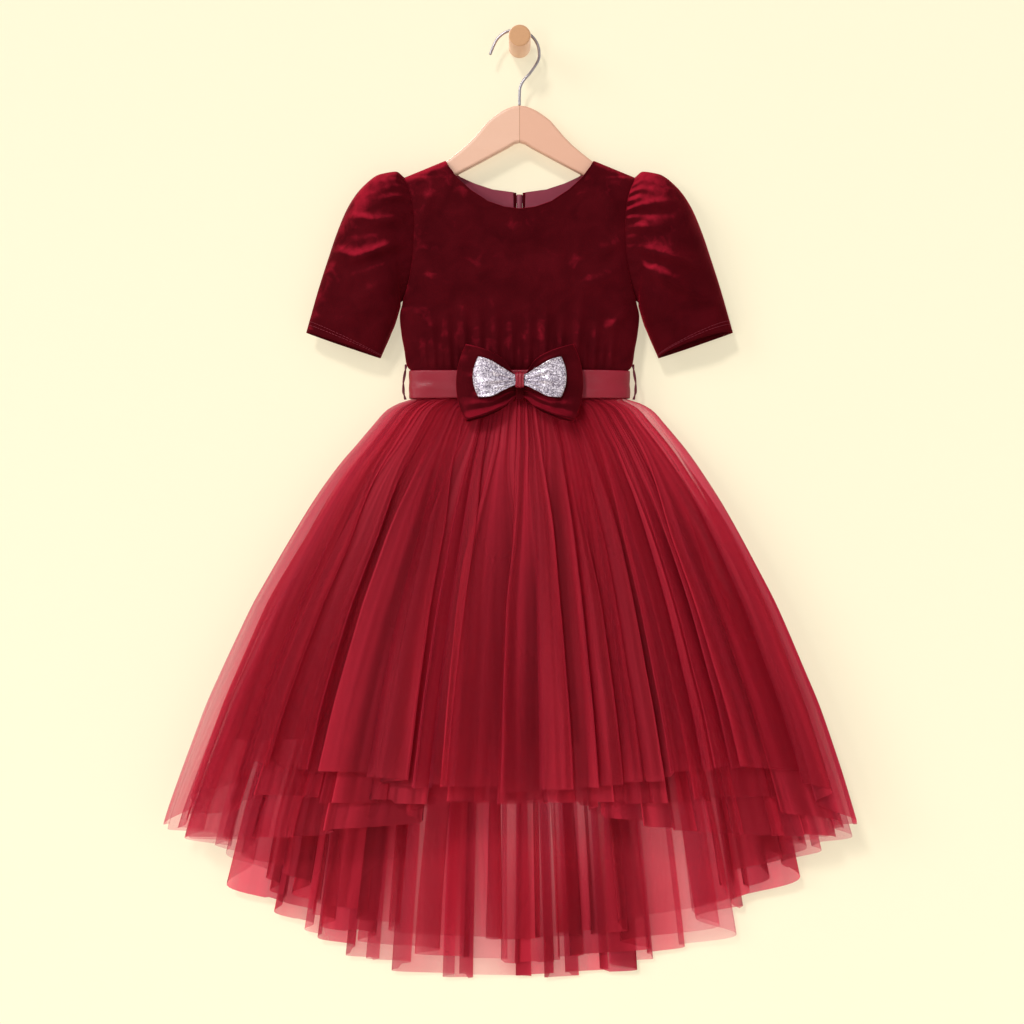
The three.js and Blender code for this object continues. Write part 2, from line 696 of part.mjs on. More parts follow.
const sliderTop = -169.5;
const sliderLength = 9;
const sliderWidth = 8.4;
const sliderThickness = 1.8;
const sliderBack = -4.6; // face of the slider next to the coil
const sliderFace = sliderBack + sliderThickness;
const bridgeWidth = 1.6;
const bridgeWall = 0.8;
const bridgeRise = 1.9; // clear height under the bridge
const bridgeLength = 5.6;
const bridgeShift = 0.8; // the bridge stands a little above the slider's middle
const pullBar = 1;
const pullPivot = { y: sliderFace + bridgeRise / 2, z: sliderTop - sliderLength / 2 + bridgeShift };
{
  const middleZ = sliderTop - sliderLength / 2;
  const bridgeTop = sliderFace + bridgeRise;
  let slider = toSolid(
    block(sliderWidth, sliderThickness, sliderLength, [0, sliderBack + sliderThickness / 2, middleZ]),
  );
  for (const end of [-1, 1]) {
    const legZ = pullPivot.z + (end * (bridgeLength - bridgeWall)) / 2;
    const leg = block(bridgeWidth, bridgeRise + bridgeWall, bridgeWall, [0, pullPivot.y, legZ]);
    slider = slider.add(toSolid(leg));
  }
  const bar = block(bridgeWidth, bridgeWall, bridgeLength, [0, bridgeTop + bridgeWall / 2, pullPivot.z]);
  slider = slider.add(toSolid(bar));
  addPiece("zip_slider", fromSolid(slider), "steel");
}

const pullWidth = 6.4;
const pullLength = 24;
const pullArm = 4.2; // from the pivot bar to the solid part of the tab
const pullArmWidth = 1.1;
{
  const frame = new THREE.Shape();
  const half = pullWidth / 2;
  frame.moveTo(-half, pullBar / 2);
  frame.lineTo(-half, -pullLength + half);
  frame.absarc(0, -pullLength + half, half, Math.PI, 2 * Math.PI, false);
  frame.lineTo(half, pullBar / 2);
  frame.closePath();
  const slot = new THREE.Path();
  const slotHalf = half - pullArmWidth;
  slot.moveTo(-slotHalf, -pullBar / 2);
  slot.lineTo(-slotHalf, -pullArm);
  slot.lineTo(slotHalf, -pullArm);
  slot.lineTo(slotHalf, -pullBar / 2);
  slot.closePath();
  frame.holes.push(slot);
  const tab = new THREE.ExtrudeGeometry(frame, {
    depth: pullBar,
    curveSegments: 10,
    bevelEnabled: false,
  });
  tab.translate(0, 0, -pullBar / 2);
  tab.rotateX(Math.PI / 2);
  tab.translate(0, pullPivot.y, pullPivot.z);
  addPiece("zip_pull", tab, "steel");
}

// Hanger: the upper edge of one arm from the middle out, then its end and its straight underside
const hangerEdge = [
  { x: 0, z: -70.9 },
  { x: 13.5, z: -73.9 },
  { x: 24.4, z: -80 },
  { x: 35.4, z: -88.3 },
  { x: 42.3, z: -96.5 },
  { x: 50.6, z: -106.2 },
  { x: 60.1, z: -115.8 },
  { x: 69.7, z: -123.9 },
  { x: 79.3, z: -131.5 },
  { x: 86, z: -136.5 },
  { x: 100, z: -142.6 },
  { x: 113, z: -148.2 },
  { x: 117.5, z: -153 },
  { x: 117, z: -164 },
  { x: 112, z: -168.5 },
  { x: 72.4, z: -150 },
  { x: 14, z: -119 },
];
const hangerApex = -112.3;
{
  const outline = [
    ...hangerEdge.map((p) => new THREE.Vector2(p.x, p.z)),
    new THREE.Vector2(0, hangerApex),
    ...[...hangerEdge].slice(1).reverse().map((p) => new THREE.Vector2(-p.x, p.z)),
  ];
  const wood = new THREE.ExtrudeGeometry(new THREE.Shape(outline), {
    depth: hangerThickness - 2 * hangerBevel,
    bevelEnabled: true,
    bevelThickness: hangerBevel,
    bevelSize: hangerBevel,
    bevelOffset: -hangerBevel,
    bevelSegments: 1,
  });
  wood.translate(0, 0, -hangerThickness / 2 + hangerBevel);
  wood.rotateX(Math.PI / 2);
  wood.translate(0, hangerMiddle, 0);
  addPiece("hanger_wood", wood, "wood");
}

// Hook: a round crook over the peg that runs down in a gentle curve to the hanger
const crook = { x: -4.2, z: -11.2, radius: 26.5, from: 160, to: -20, step: 20 };
const crookTip = { out: 2.2, down: 0.5 }; // how far the open end flares
const stem = [
  { x: 12.2, z: -33.2 },
  { x: 4.6, z: -42 },
  { x: 0.8, z: -50 },
  { x: 0, z: -60 },
  { x: 0, z: -70.5 },
];
const wireSteps = 30;
{
  const points = [];
  const crookPoint = (degrees) => {
    const angle = (degrees * Math.PI) / 180;
    return new THREE.Vector3(
      crook.x + crook.radius * Math.cos(angle),
      hangerMiddle,
      crook.z + crook.radius * Math.sin(angle),
    );
  };
  const tipX = crook.x - crook.radius - crookTip.out;
  points.push(new THREE.Vector3(tipX, hangerMiddle, crook.z - crookTip.down));
  for (let degrees = crook.from; degrees >= crook.to; degrees -= crook.step) {
    points.push(crookPoint(degrees));
  }
  points.push(...stem.map((p) => new THREE.Vector3(p.x, hangerMiddle, p.z)));
  const path = new THREE.CatmullRomCurve3(points);
  const wire = new THREE.Shape().absarc(0, 0, wireRadius, 0, 2 * Math.PI, false);
  addPiece(
    "hanger_hook",
    new THREE.ExtrudeGeometry(wire, { steps: wireSteps, curveSegments: 4, extrudePath: path }),
    "steel",
  );
}

// Wall peg: a round wooden dowel with a chamfered end, its back face on the wall
{
  const profile = [
    new THREE.Vector2(0, 0),
    new THREE.Vector2(pegRadius, 0),
    new THREE.Vector2(pegRadius, pegLength - pegChamfer),
    new THREE.Vector2(pegRadius - pegChamfer, pegLength),
    new THREE.Vector2(0, pegLength),
  ];
  const peg = new THREE.LatheGeometry(profile, pegSides);
  peg.rotateX(Math.PI);
  addPiece("wall_peg", peg, "wood");
}

export default dress;
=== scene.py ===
# Toddler party dress on a wooden hanger and a wall peg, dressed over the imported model
import math
import random
import bmesh
import bpy
import numpy as np
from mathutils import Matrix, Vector


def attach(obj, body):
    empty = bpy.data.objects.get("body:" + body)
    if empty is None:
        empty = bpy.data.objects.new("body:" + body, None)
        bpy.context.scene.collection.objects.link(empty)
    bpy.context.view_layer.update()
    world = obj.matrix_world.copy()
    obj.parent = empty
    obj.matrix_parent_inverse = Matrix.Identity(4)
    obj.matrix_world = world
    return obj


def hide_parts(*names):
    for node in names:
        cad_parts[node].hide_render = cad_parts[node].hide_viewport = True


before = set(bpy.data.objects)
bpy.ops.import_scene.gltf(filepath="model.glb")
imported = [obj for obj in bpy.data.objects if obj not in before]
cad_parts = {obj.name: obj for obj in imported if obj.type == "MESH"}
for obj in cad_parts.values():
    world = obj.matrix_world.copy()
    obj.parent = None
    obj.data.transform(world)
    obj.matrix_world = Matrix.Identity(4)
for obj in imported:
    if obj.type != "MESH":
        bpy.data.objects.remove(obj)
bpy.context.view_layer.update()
mm = 0.001
seamGap = 0.3

# Camera: it looks straight at the wall from the height of the skirt's upper part
cameraSetup = {"place": (-0.0085, -2.2, -0.530), "lens": 67.82, "sensor": 36}
cameraData = bpy.data.cameras.new("dressCamera")
cameraData.lens = cameraSetup["lens"]
cameraData.sensor_width = cameraSetup["sensor"]
camera = bpy.data.objects.new("dressCamera", cameraData)
camera.location = cameraSetup["place"]
camera.rotation_euler = (math.radians(90), 0, 0)
bpy.context.scene.collection.objects.link(camera)
bpy.context.scene.camera = camera


# Tables: the first column is the key, and a smooth curve runs through the rows
def smoothTable(rows, column):
    ordered = sorted(rows)
    keys = np.array([row[0] for row in ordered], float)
    values = np.array([row[column] for row in ordered], float)
    gaps = np.diff(keys)
    rise = np.diff(values) / gaps
    slopes = np.zeros(len(keys))
    slopes[0] = rise[0]
    slopes[-1] = rise[-1]
    product = rise[:-1] * rise[1:]
    total = rise[:-1] + rise[1:]
    steady = product > 0
    slopes[1:-1] = np.where(steady, 2 * product / np.where(steady, total, 1), 0)

    def readAt(key):
        inside = np.clip(key, keys[0], keys[-1])
        i = np.clip(np.searchsorted(keys, inside) - 1, 0, len(gaps) - 1)
        t = (inside - keys[i]) / gaps[i]
        startPart = values[i] * (1 + 2 * t) * (1 - t) ** 2 + slopes[i] * gaps[i] * t * (1 - t) ** 2
        endPart = values[i + 1] * t * t * (3 - 2 * t) + slopes[i + 1] * gaps[i] * t * t * (t - 1)
        return startPart + endPart

    return readAt


def ease(t):
    t = np.clip(t, 0, 1)
    return t * t * (3 - 2 * t)


# Height of the creases at points across (x) and up (z): rows are x, z of one end, x, z of the
# other, height and width. A held crease is deepest at its first end, where a seam holds it.
def creaseHeight(x, z, creases, held=False):
    height = np.zeros(np.broadcast(x, z).shape)
    for startX, startZ, endX, endZ, rise, width in creases:
        runX = endX - startX
        runZ = endZ - startZ
        length = math.hypot(runX, runZ)
        along = ((x - startX) * runX + (z - startZ) * runZ) / length**2
        side = ((x - startX) * runZ - (z - startZ) * runX) / length
        if held:
            fade = ease(1 - along)
            spread = width * (1 + 0.8 * np.clip(along, 0, 1))
        else:
            fade = np.clip(np.sin(np.pi * np.clip(along, 0, 1)), 0, 1) ** 0.7
            spread = width
        height = height + rise * fade * np.exp(-((side / spread) ** 2))
    return height


def newMesh(name, points, faces, smooth=True):
    mesh = bpy.data.meshes.new(name)
    mesh.from_pydata(points, [], faces)
    mesh.polygons.foreach_set("use_smooth", [smooth] * len(mesh.polygons))
    mesh.update()
    return mesh


# A mesh from a bmesh, with its faces turned outwards
def finishMesh(name, bm):
    bmesh.ops.recalc_face_normals(bm, faces=bm.faces)
    mesh = bpy.data.meshes.new(name)
    bm.to_mesh(mesh)
    bm.free()
    return mesh


# A mesh from rows of points in millimetres, with its faces turned away from a point inside it
def gridMesh(name, grid, closed=False, inside=(0, -20, -300)):
    rows, columns = grid.shape[:2]
    index = np.arange(rows * columns).reshape(rows, columns)
    left = index if closed else index[:, :-1]
    right = np.roll(index, -1, axis=1) if closed else index[:, 1:]
    quads = np.stack([left[:-1], right[:-1], right[1:], left[1:]], -1).reshape(-1, 4)
    points = grid.reshape(-1, 3)
    corners = points[quads]
    normals = np.cross(corners[:, 2] - corners[:, 0], corners[:, 3] - corners[:, 1])
    if np.sum(normals * (corners.mean(axis=1) - np.array(inside))) < 0:
        quads = quads[:, ::-1]
    return newMesh(name, (points * mm).tolist(), quads.tolist())


def addPiece(name, mesh, material, nodes, body="dress", wall=0):
    piece = bpy.data.objects.new(name, mesh)
    bpy.context.scene.collection.objects.link(piece)
    mesh.materials.append(material)
    if wall:
        shell = piece.modifiers.new("cloth thickness", "SOLIDIFY")
        shell.thickness = wall * mm
        shell.offset = -1
    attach(piece, body)
    if nodes:
        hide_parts(*nodes)
    return piece


# A round tube along a smooth line through points in millimetres, with domed ends
def tubeMesh(name, points, radius, sides=14, steps=10):
    line = [Vector(p) for p in points]
    path = []
    for i in range(len(line) - 1):
        before = line[i - 1] if i > 0 else line[i] * 2 - line[i + 1]
        after = line[i + 2] if i + 2 < len(line) else line[i + 1] * 2 - line[i]
        for k in range(steps):
            t = k / steps
            a = line[i] * 2
            b = (line[i + 1] - before) * t
            c = (before * 2 - line[i] * 5 + line[i + 1] * 4 - after) * t**2
            d = (line[i] * 3 - before - line[i + 1] * 3 + after) * t**3
            path.append((a + b + c + d) / 2)
    path.append(line[-1])
    vertices = []
    faces = []
    side = Vector((0, 1, 0))
    rings = []
    for i, place in enumerate(path):
        ahead = (path[min(i + 1, len(path) - 1)] - path[max(i - 1, 0)]).normalized()
        side = (side - ahead * side.dot(ahead)).normalized()
        rings.append((place, ahead, side.copy(), radius))
    domed = []
    for turn in (0.15, 0.5, 0.8):
        domed.append((turn, math.sqrt(1 - turn * turn)))
    place, ahead, across = rings[0][:3]
    first = [(place - ahead * radius * t, ahead, across, radius * r) for t, r in reversed(domed)]
    place, ahead, across = rings[-1][:3]
    last = [(place + ahead * radius * t, ahead, across, radius * r) for t, r in domed]
    rings = first + rings + last
    for place, ahead, across, size in rings:
        other = ahead.cross(across)
        for k in range(sides):
            angle = 2 * math.pi * k / sides
            vertices.append((place + (across * math.cos(angle) + other * math.sin(angle)) * size) * mm)
    for r in range(len(rings) - 1):
        low = r * sides
        high = low + sides
        for k in range(sides):
            following = (k + 1) % sides
            faces.append((low + k, low + following, high + following, high + k))
    faces.append(tuple(reversed(range(sides))))
    faces.append(tuple((len(rings) - 1) * sides + k for k in range(sides)))
    return newMesh(name, [tuple(v) for v in vertices], faces)


# Shader helpers
floatSocket = "NodeSocketFloat"
colourSocket = "NodeSocketColor"


def addNode(tree, kind, place=(0, 0), **settings):
    node = tree.nodes.new(kind)
    node.location = place
    for key, value in settings.items():
        setattr(node, key, value)
    return node


def setInputs(node, values):
    for label, value in values.items():
        node.inputs[label].default_value = value


def newMaterial(name):
    material = bpy.data.materials.new(name)
    material.use_nodes = True
    return material, material.node_tree, material.node_tree.nodes["Principled BSDF"]


def newGroup(name, inputs, outputs):
    group = bpy.data.node_groups.new(name, "ShaderNodeTree")
    for label, kind, value in inputs:
        socket = group.interface.new_socket(label, in_out="INPUT", socket_type=kind)
        socket.default_value = value
    for label, kind in outputs:
        group.interface.new_socket(label, in_out="OUTPUT", socket_type=kind)
    start = addNode(group, "NodeGroupInput", (-900, 0))
    end = addNode(group, "NodeGroupOutput", (700, 0))
    return group, start, end


def placeGroup(tree, group, values):
    node = addNode(tree, "ShaderNodeGroup", (-500, 0), node_tree=group)
    setInputs(node, values)
    return node


def addMath(tree, operation, first, second=None, clamp=False):
    node = addNode(tree, "ShaderNodeMath", operation=operation, use_clamp=clamp)
    for i, value in enumerate((first, second)):
        if value is None:
            continue
        if isinstance(value, (int, float)):
            node.inputs[i].default_value = value
        else:
            tree.links.new(value, node.inputs[i])
    return node.outputs[0]


# Soft uneven colour: two colours mixed by a cloud, and a fine height for the bump
def buildMottle():
    inputs = [
        ("Low", colourSocket, (0, 0, 0, 1)),
        ("High", colourSocket, (1, 1, 1, 1)),
        ("Cloud Size", floatSocket, 40.0),
        ("Grain Size", floatSocket, 900.0),
        ("Bias", floatSocket, 0.5),
        ("Contrast", floatSocket, 2.0),
    ]
    outputs = [("Color", colourSocket), ("Cloud", floatSocket), ("Grain", floatSocket)]
    group, start, end = newGroup("clothMottle", inputs, outputs)
    coordinate = addNode(group, "ShaderNodeTexCoord", (-900, -300))
    cloud = addNode(group, "ShaderNodeTexNoise", (-600, 200))
    setInputs(cloud, {"Detail": 5, "Distortion": 0.6})
    grain = addNode(group, "ShaderNodeTexNoise", (-600, -200))
    setInputs(grain, {"Detail": 3})
    for texture, label in ((cloud, "Cloud Size"), (grain, "Grain Size")):
        group.links.new(coordinate.outputs["Object"], texture.inputs["Vector"])
        group.links.new(start.outputs[label], texture.inputs["Scale"])
    centred = addMath(group, "SUBTRACT", cloud.outputs["Fac"], 0.5)
    raised = addMath(group, "MULTIPLY", centred, start.outputs["Contrast"])
    factor = addMath(group, "ADD", raised, start.outputs["Bias"], clamp=True)
    mix = addNode(group, "ShaderNodeMix", (300, 100), data_type="RGBA")
    group.links.new(factor, mix.inputs["Factor"])
    group.links.new(start.outputs["Low"], mix.inputs[6])
    group.links.new(start.outputs["High"], mix.inputs[7])
    group.links.new(mix.outputs[2], end.inputs["Color"])
    group.links.new(factor, end.inputs["Cloud"])
    group.links.new(grain.outputs["Fac"], end.inputs["Grain"])
    return group


# Woven threads as a height: two sets of fine ribs that cross
def buildWeave():
    inputs = [("Threads", floatSocket, 2000.0), ("Across", floatSocket, 0.5)]
    group, start, end = newGroup("threadWeave", inputs, [("Height", floatSocket)])
    coordinate = addNode(group, "ShaderNodeTexCoord", (-900, -300))
    heights = []
    for direction in ("X", "Z"):
        wave = addNode(group, "ShaderNodeTexWave", (-500, 0), wave_type="BANDS", bands_direction=direction)
        setInputs(wave, {"Distortion": 0.4})
        group.links.new(coordinate.outputs["Object"], wave.inputs["Vector"])
        group.links.new(start.outputs["Threads"], wave.inputs["Scale"])
        heights.append(wave.outputs["Fac"])
    crossing = addMath(group, "MULTIPLY", heights[1], start.outputs["Across"])
    group.links.new(addMath(group, "ADD", heights[0], crossing), end.inputs["Height"])
    return group


# Wood grain: long streaks along X or Y with a finer fibre, as a mask and a height
def buildGrain():
    inputs = [
        ("Stretch", "NodeSocketVector", (1.0, 1.0, 1.0)),
        ("Streaks", floatSocket, 40.0),
        ("Fibres", floatSocket, 300.0),
    ]
    group, start, end = newGroup("woodGrain", inputs, [("Streak", floatSocket), ("Fibre", floatSocket)])
    coordinate = addNode(group, "ShaderNodeTexCoord", (-900, -300))
    scaled = addNode(group, "ShaderNodeVectorMath", (-700, -100), operation="MULTIPLY")
    group.links.new(coordinate.outputs["Object"], scaled.inputs[0])
    group.links.new(start.outputs["Stretch"], scaled.inputs[1])
    for label, name, detail in (("Streaks", "Streak", 3), ("Fibres", "Fibre", 5)):
        texture = addNode(group, "ShaderNodeTexNoise", (-400, 0))
        setInputs(texture, {"Detail": detail, "Distortion": 0.8})
        group.links.new(scaled.outputs[0], texture.inputs["Vector"])
        group.links.new(start.outputs[label], texture.inputs["Scale"])
        group.links.new(texture.outputs["Fac"], end.inputs[name])
    return group


# Streaks: fine lines that run down the gathered net, placed by how far round the waist it is
def buildStreaks():
    inputs = [("Lines", floatSocket, 60.0), ("Length", floatSocket, 2.0)]
    group, start, end = newGroup("gatherStreaks", inputs, [("Line", floatSocket), ("Band", floatSocket)])
    place = addNode(group, "ShaderNodeAttribute", (-900, 200), attribute_name="waistPlace")
    coordinate = addNode(group, "ShaderNodeTexCoord", (-900, -200))
    parts = addNode(group, "ShaderNodeSeparateXYZ", (-700, -200))
    group.links.new(coordinate.outputs["Object"], parts.inputs[0])
    downward = addMath(group, "MULTIPLY", parts.outputs["Z"], start.outputs["Length"])
    for label, share, detail in (("Line", 1.0, 2), ("Band", 0.11, 1)):
        across = addMath(group, "MULTIPLY", place.outputs["Fac"], start.outputs["Lines"])
        across = addMath(group, "MULTIPLY", across, share)
        joined = addNode(group, "ShaderNodeCombineXYZ", (-300, 0))
        group.links.new(across, joined.inputs[0])
        group.links.new(downward, joined.inputs[2])
        texture = addNode(group, "ShaderNodeTexNoise", (-100, 0))
        setInputs(texture, {"Scale": 1.0, "Detail": detail, "Roughness": 0.6})
        group.links.new(joined.outputs[0], texture.inputs["Vector"])
        spread = addNode(group, "ShaderNodeMapRange", (200, 0), interpolation_type="SMOOTHSTEP")
        setInputs(spread, {"From Min": 0.32, "From Max": 0.68})
        group.links.new(texture.outputs["Fac"], spread.inputs["Value"])
        group.links.new(spread.outputs["Result"], end.inputs[label])
    return group


# Painted light: the colour turns lighter where the surface faces a fixed light from the upper left front, a
# painted highlight on the upper side of each fold, broken up in patches
paintedLightFacing = {"outward": 0.60, "sideways": -0.26, "upward": 0.68}


def buildPaintedFoldLight():
    inputs = [
        ("Lowest", floatSocket, 0.66),
        ("Highest", floatSocket, 0.98),
        ("Breakup", floatSocket, 0.42),
        ("Patch Size", floatSocket, 60.0),
    ]
    group, start, end = newGroup("paintedFoldLight", inputs, [("Light", floatSocket)])
    surface = addNode(group, "ShaderNodeNewGeometry", (-900, 200))
    parts = addNode(group, "ShaderNodeSeparateXYZ", (-700, 200))
    group.links.new(surface.outputs["Normal"], parts.inputs[0])
    # the weights below are a fixed light direction; the more the surface faces it, the more highlight is
    # painted
    outward = addMath(group, "MULTIPLY", addMath(group, "ABSOLUTE", parts.outputs["Y"]), paintedLightFacing["outward"])
    sideways = addMath(group, "MULTIPLY", parts.outputs["X"], paintedLightFacing["sideways"])
    upward = addMath(group, "MULTIPLY", parts.outputs["Z"], paintedLightFacing["upward"])
    facing = addMath(group, "ADD", addMath(group, "ADD", outward, sideways), upward)
    coordinate = addNode(group, "ShaderNodeTexCoord", (-900, -200))
    patches = addNode(group, "ShaderNodeTexNoise", (-700, -200))
    setInputs(patches, {"Detail": 6, "Distortion": 0.5})
    group.links.new(coordinate.outputs["Object"], patches.inputs["Vector"])
    group.links.new(start.outputs["Patch Size"], patches.inputs["Scale"])
    centred = addMath(group, "SUBTRACT", patches.outputs["Fac"], 0.5)
    broken = addMath(group, "ADD", facing, addMath(group, "MULTIPLY", centred, start.outputs["Breakup"]))
    spread = addNode(group, "ShaderNodeMapRange", (300, 0), interpolation_type="SMOOTHSTEP")
    group.links.new(broken, spread.inputs["Value"])
    group.links.new(start.outputs["Lowest"], spread.inputs["From Min"])
    group.links.new(start.outputs["Highest"], spread.inputs["From Max"])
    group.links.new(spread.outputs["Result"], end.inputs["Light"])
    return group


mottleGroup = buildMottle()
weaveGroup = buildWeave()
grainGroup = buildGrain()
paintedFoldLightGroup = buildPaintedFoldLight()
streakGroup = buildStreaks()


def addBump(tree, shader, height, strength, distance):
    bump = addNode(tree, "ShaderNodeBump", (-200, -300))
    setInputs(bump, {"Strength": strength, "Distance": distance})
    tree.links.new(height, bump.inputs["Height"])
    tree.links.new(bump.outputs["Normal"], shader.inputs["Normal"])


def setRoughness(tree, shader, source, low, high):
    spread = addNode(tree, "ShaderNodeMapRange", (-200, -100))
    setInputs(spread, {"To Min": low, "To Max": high})
    tree.links.new(source, spread.inputs["Value"])
    tree.links.new(spread.outputs["Result"], shader.inputs["Roughness"])


# Velvet: a deep ground, and a painted highlight on the upper side of each fold, where it faces the light from
# the upper left
velvetLook = {
    "deep": (0.038, 0.0007, 0.0024, 1),
    "light": (0.072, 0.0014, 0.0044, 1),
    # colour of the painted highlight on the folds
    "paintedHighlight": (0.350, 0.0090, 0.0260, 1),
    "sheenTint": (1.0, 0.020, 0.060, 1),
    "sheenRoughness": 0.42,
    "roughness": (0.82, 0.66),
    "specular": 0.03,
    "cloudContrast": 1.7,
    "cloudSize": 34,
    "cloudHeight": 1.6,
    "pileSize": 1500,
    "patchSize": 75,
    "bump": (0.5, 0.0009),
}


def makeVelvet(name, bias, sheen, paintedHighlight):
    material, tree, shader = newMaterial(name)
    mottle = placeGroup(tree, mottleGroup, {
        "Low": velvetLook["deep"],
        "High": velvetLook["light"],
        "Bias": bias,
        "Contrast": velvetLook["cloudContrast"],
        "Cloud Size": velvetLook["cloudSize"],
        "Grain Size": velvetLook["pileSize"],
    })
    paintedLight = placeGroup(tree, paintedFoldLightGroup, {"Patch Size": velvetLook["patchSize"]})
    # painted highlight: the colour moves towards the highlight colour where the surface faces the upper left
    # light
    mix = addNode(tree, "ShaderNodeMix", (-250, 200), data_type="RGBA")
    tree.links.new(addMath(tree, "MULTIPLY", paintedLight.outputs["Light"], paintedHighlight), mix.inputs["Factor"])
    tree.links.new(mottle.outputs["Color"], mix.inputs[6])
    mix.inputs[7].default_value = velvetLook["paintedHighlight"]
    tree.links.new(mix.outputs[2], shader.inputs["Base Color"])
    setRoughness(tree, shader, mottle.outputs["Cloud"], *velvetLook["roughness"])
    setInputs(shader, {
        "Specular IOR Level": velvetLook["specular"],
        "Sheen Weight": sheen,
        "Sheen Roughness": velvetLook["sheenRoughness"],
        "Sheen Tint": velvetLook["sheenTint"],
    })
    clouds = addMath(tree, "MULTIPLY", mottle.outputs["Cloud"], velvetLook["cloudHeight"])
    height = addMath(tree, "ADD", mottle.outputs["Grain"], clouds)
    addBump(tree, shader, height, *velvetLook["bump"])
    return material


# Satin: smooth and glossy, with fine threads one way
satinLook = {
    "cloudContrast": 1.4,
    "cloudSize": 24,
    "grainSize": 2200,
    "threads": 2600,
    "across": 0.35,
    "smoother": 0.05,
    "rougher": 0.09,
    "sheen": 0.15,
    "sheenRoughness": 0.4,
    "sheenTint": (1.0, 0.12, 0.18, 1),
    "anisotropy": 0.35,
    "specular": 0.34,
    "bump": (0.25, 0.00015),
}


def makeSatin(name, low, high, roughness, threads=satinLook["threads"]):
    material, tree, shader = newMaterial(name)
    mottle = placeGroup(tree, mottleGroup, {
        "Low": low,
        "High": high,
        "Bias": 0.5,
        "Contrast": satinLook["cloudContrast"],
        "Cloud Size": satinLook["cloudSize"],
        "Grain Size": satinLook["grainSize"],
    })
    weave = placeGroup(tree, weaveGroup, {"Threads": threads, "Across": satinLook["across"]})
    tree.links.new(mottle.outputs["Color"], shader.inputs["Base Color"])
    lowest = roughness - satinLook["smoother"]
    highest = roughness + satinLook["rougher"]
    setRoughness(tree, shader, mottle.outputs["Grain"], lowest, highest)
    setInputs(shader, {
        "Sheen Weight": satinLook["sheen"],
        "Sheen Roughness": satinLook["sheenRoughness"],
        "Sheen Tint": satinLook["sheenTint"],
        "Anisotropic": satinLook["anisotropy"],
        "Specular IOR Level": satinLook["specular"],
    })
    addBump(tree, shader, weave.outputs["Height"], *satinLook["bump"])
    return material


# Net: slanting threads round open cells, denser where a fold turns, with a painted highlight where a
# fold turns and along its gathered lines, and painted shade low in a fold
netLook = {
    "cellSide": 0.0009,
    "deep": (0.215, 0.0066, 0.0170, 1),
    # painted highlight colour where a fold turns and along the gathered lines
    "paintedHighlightColour": (0.640, 0.0270, 0.0600, 1),
    # painted shade colour low in a fold
    "low": (0.085, 0.0030, 0.0085, 1),
    "through": (0.82, 0.085, 0.185, 1),
    "gap": (1.0, 0.84, 0.90, 1),
    "open": 0.43,
    "thread": 0.84,
    "threadEdge": (0.08, 0.40),
    "lines": 230,
    "lineLength": 1.6,
    # the next two set the painted highlight along the lines and at fold turns, the third the painted shade
    # low in a fold
    "lineLight": 0.70,
    "foldLight": 0.55,
    "foldShade": 0.9,
    "foldDensity": 0.30,
    "bandContrast": 0.70,
    "passing": 0.42,
    "roughness": (0.7, 0.5),
    "specular": 0.12,
    "bump": (0.35, 0.0012),
}


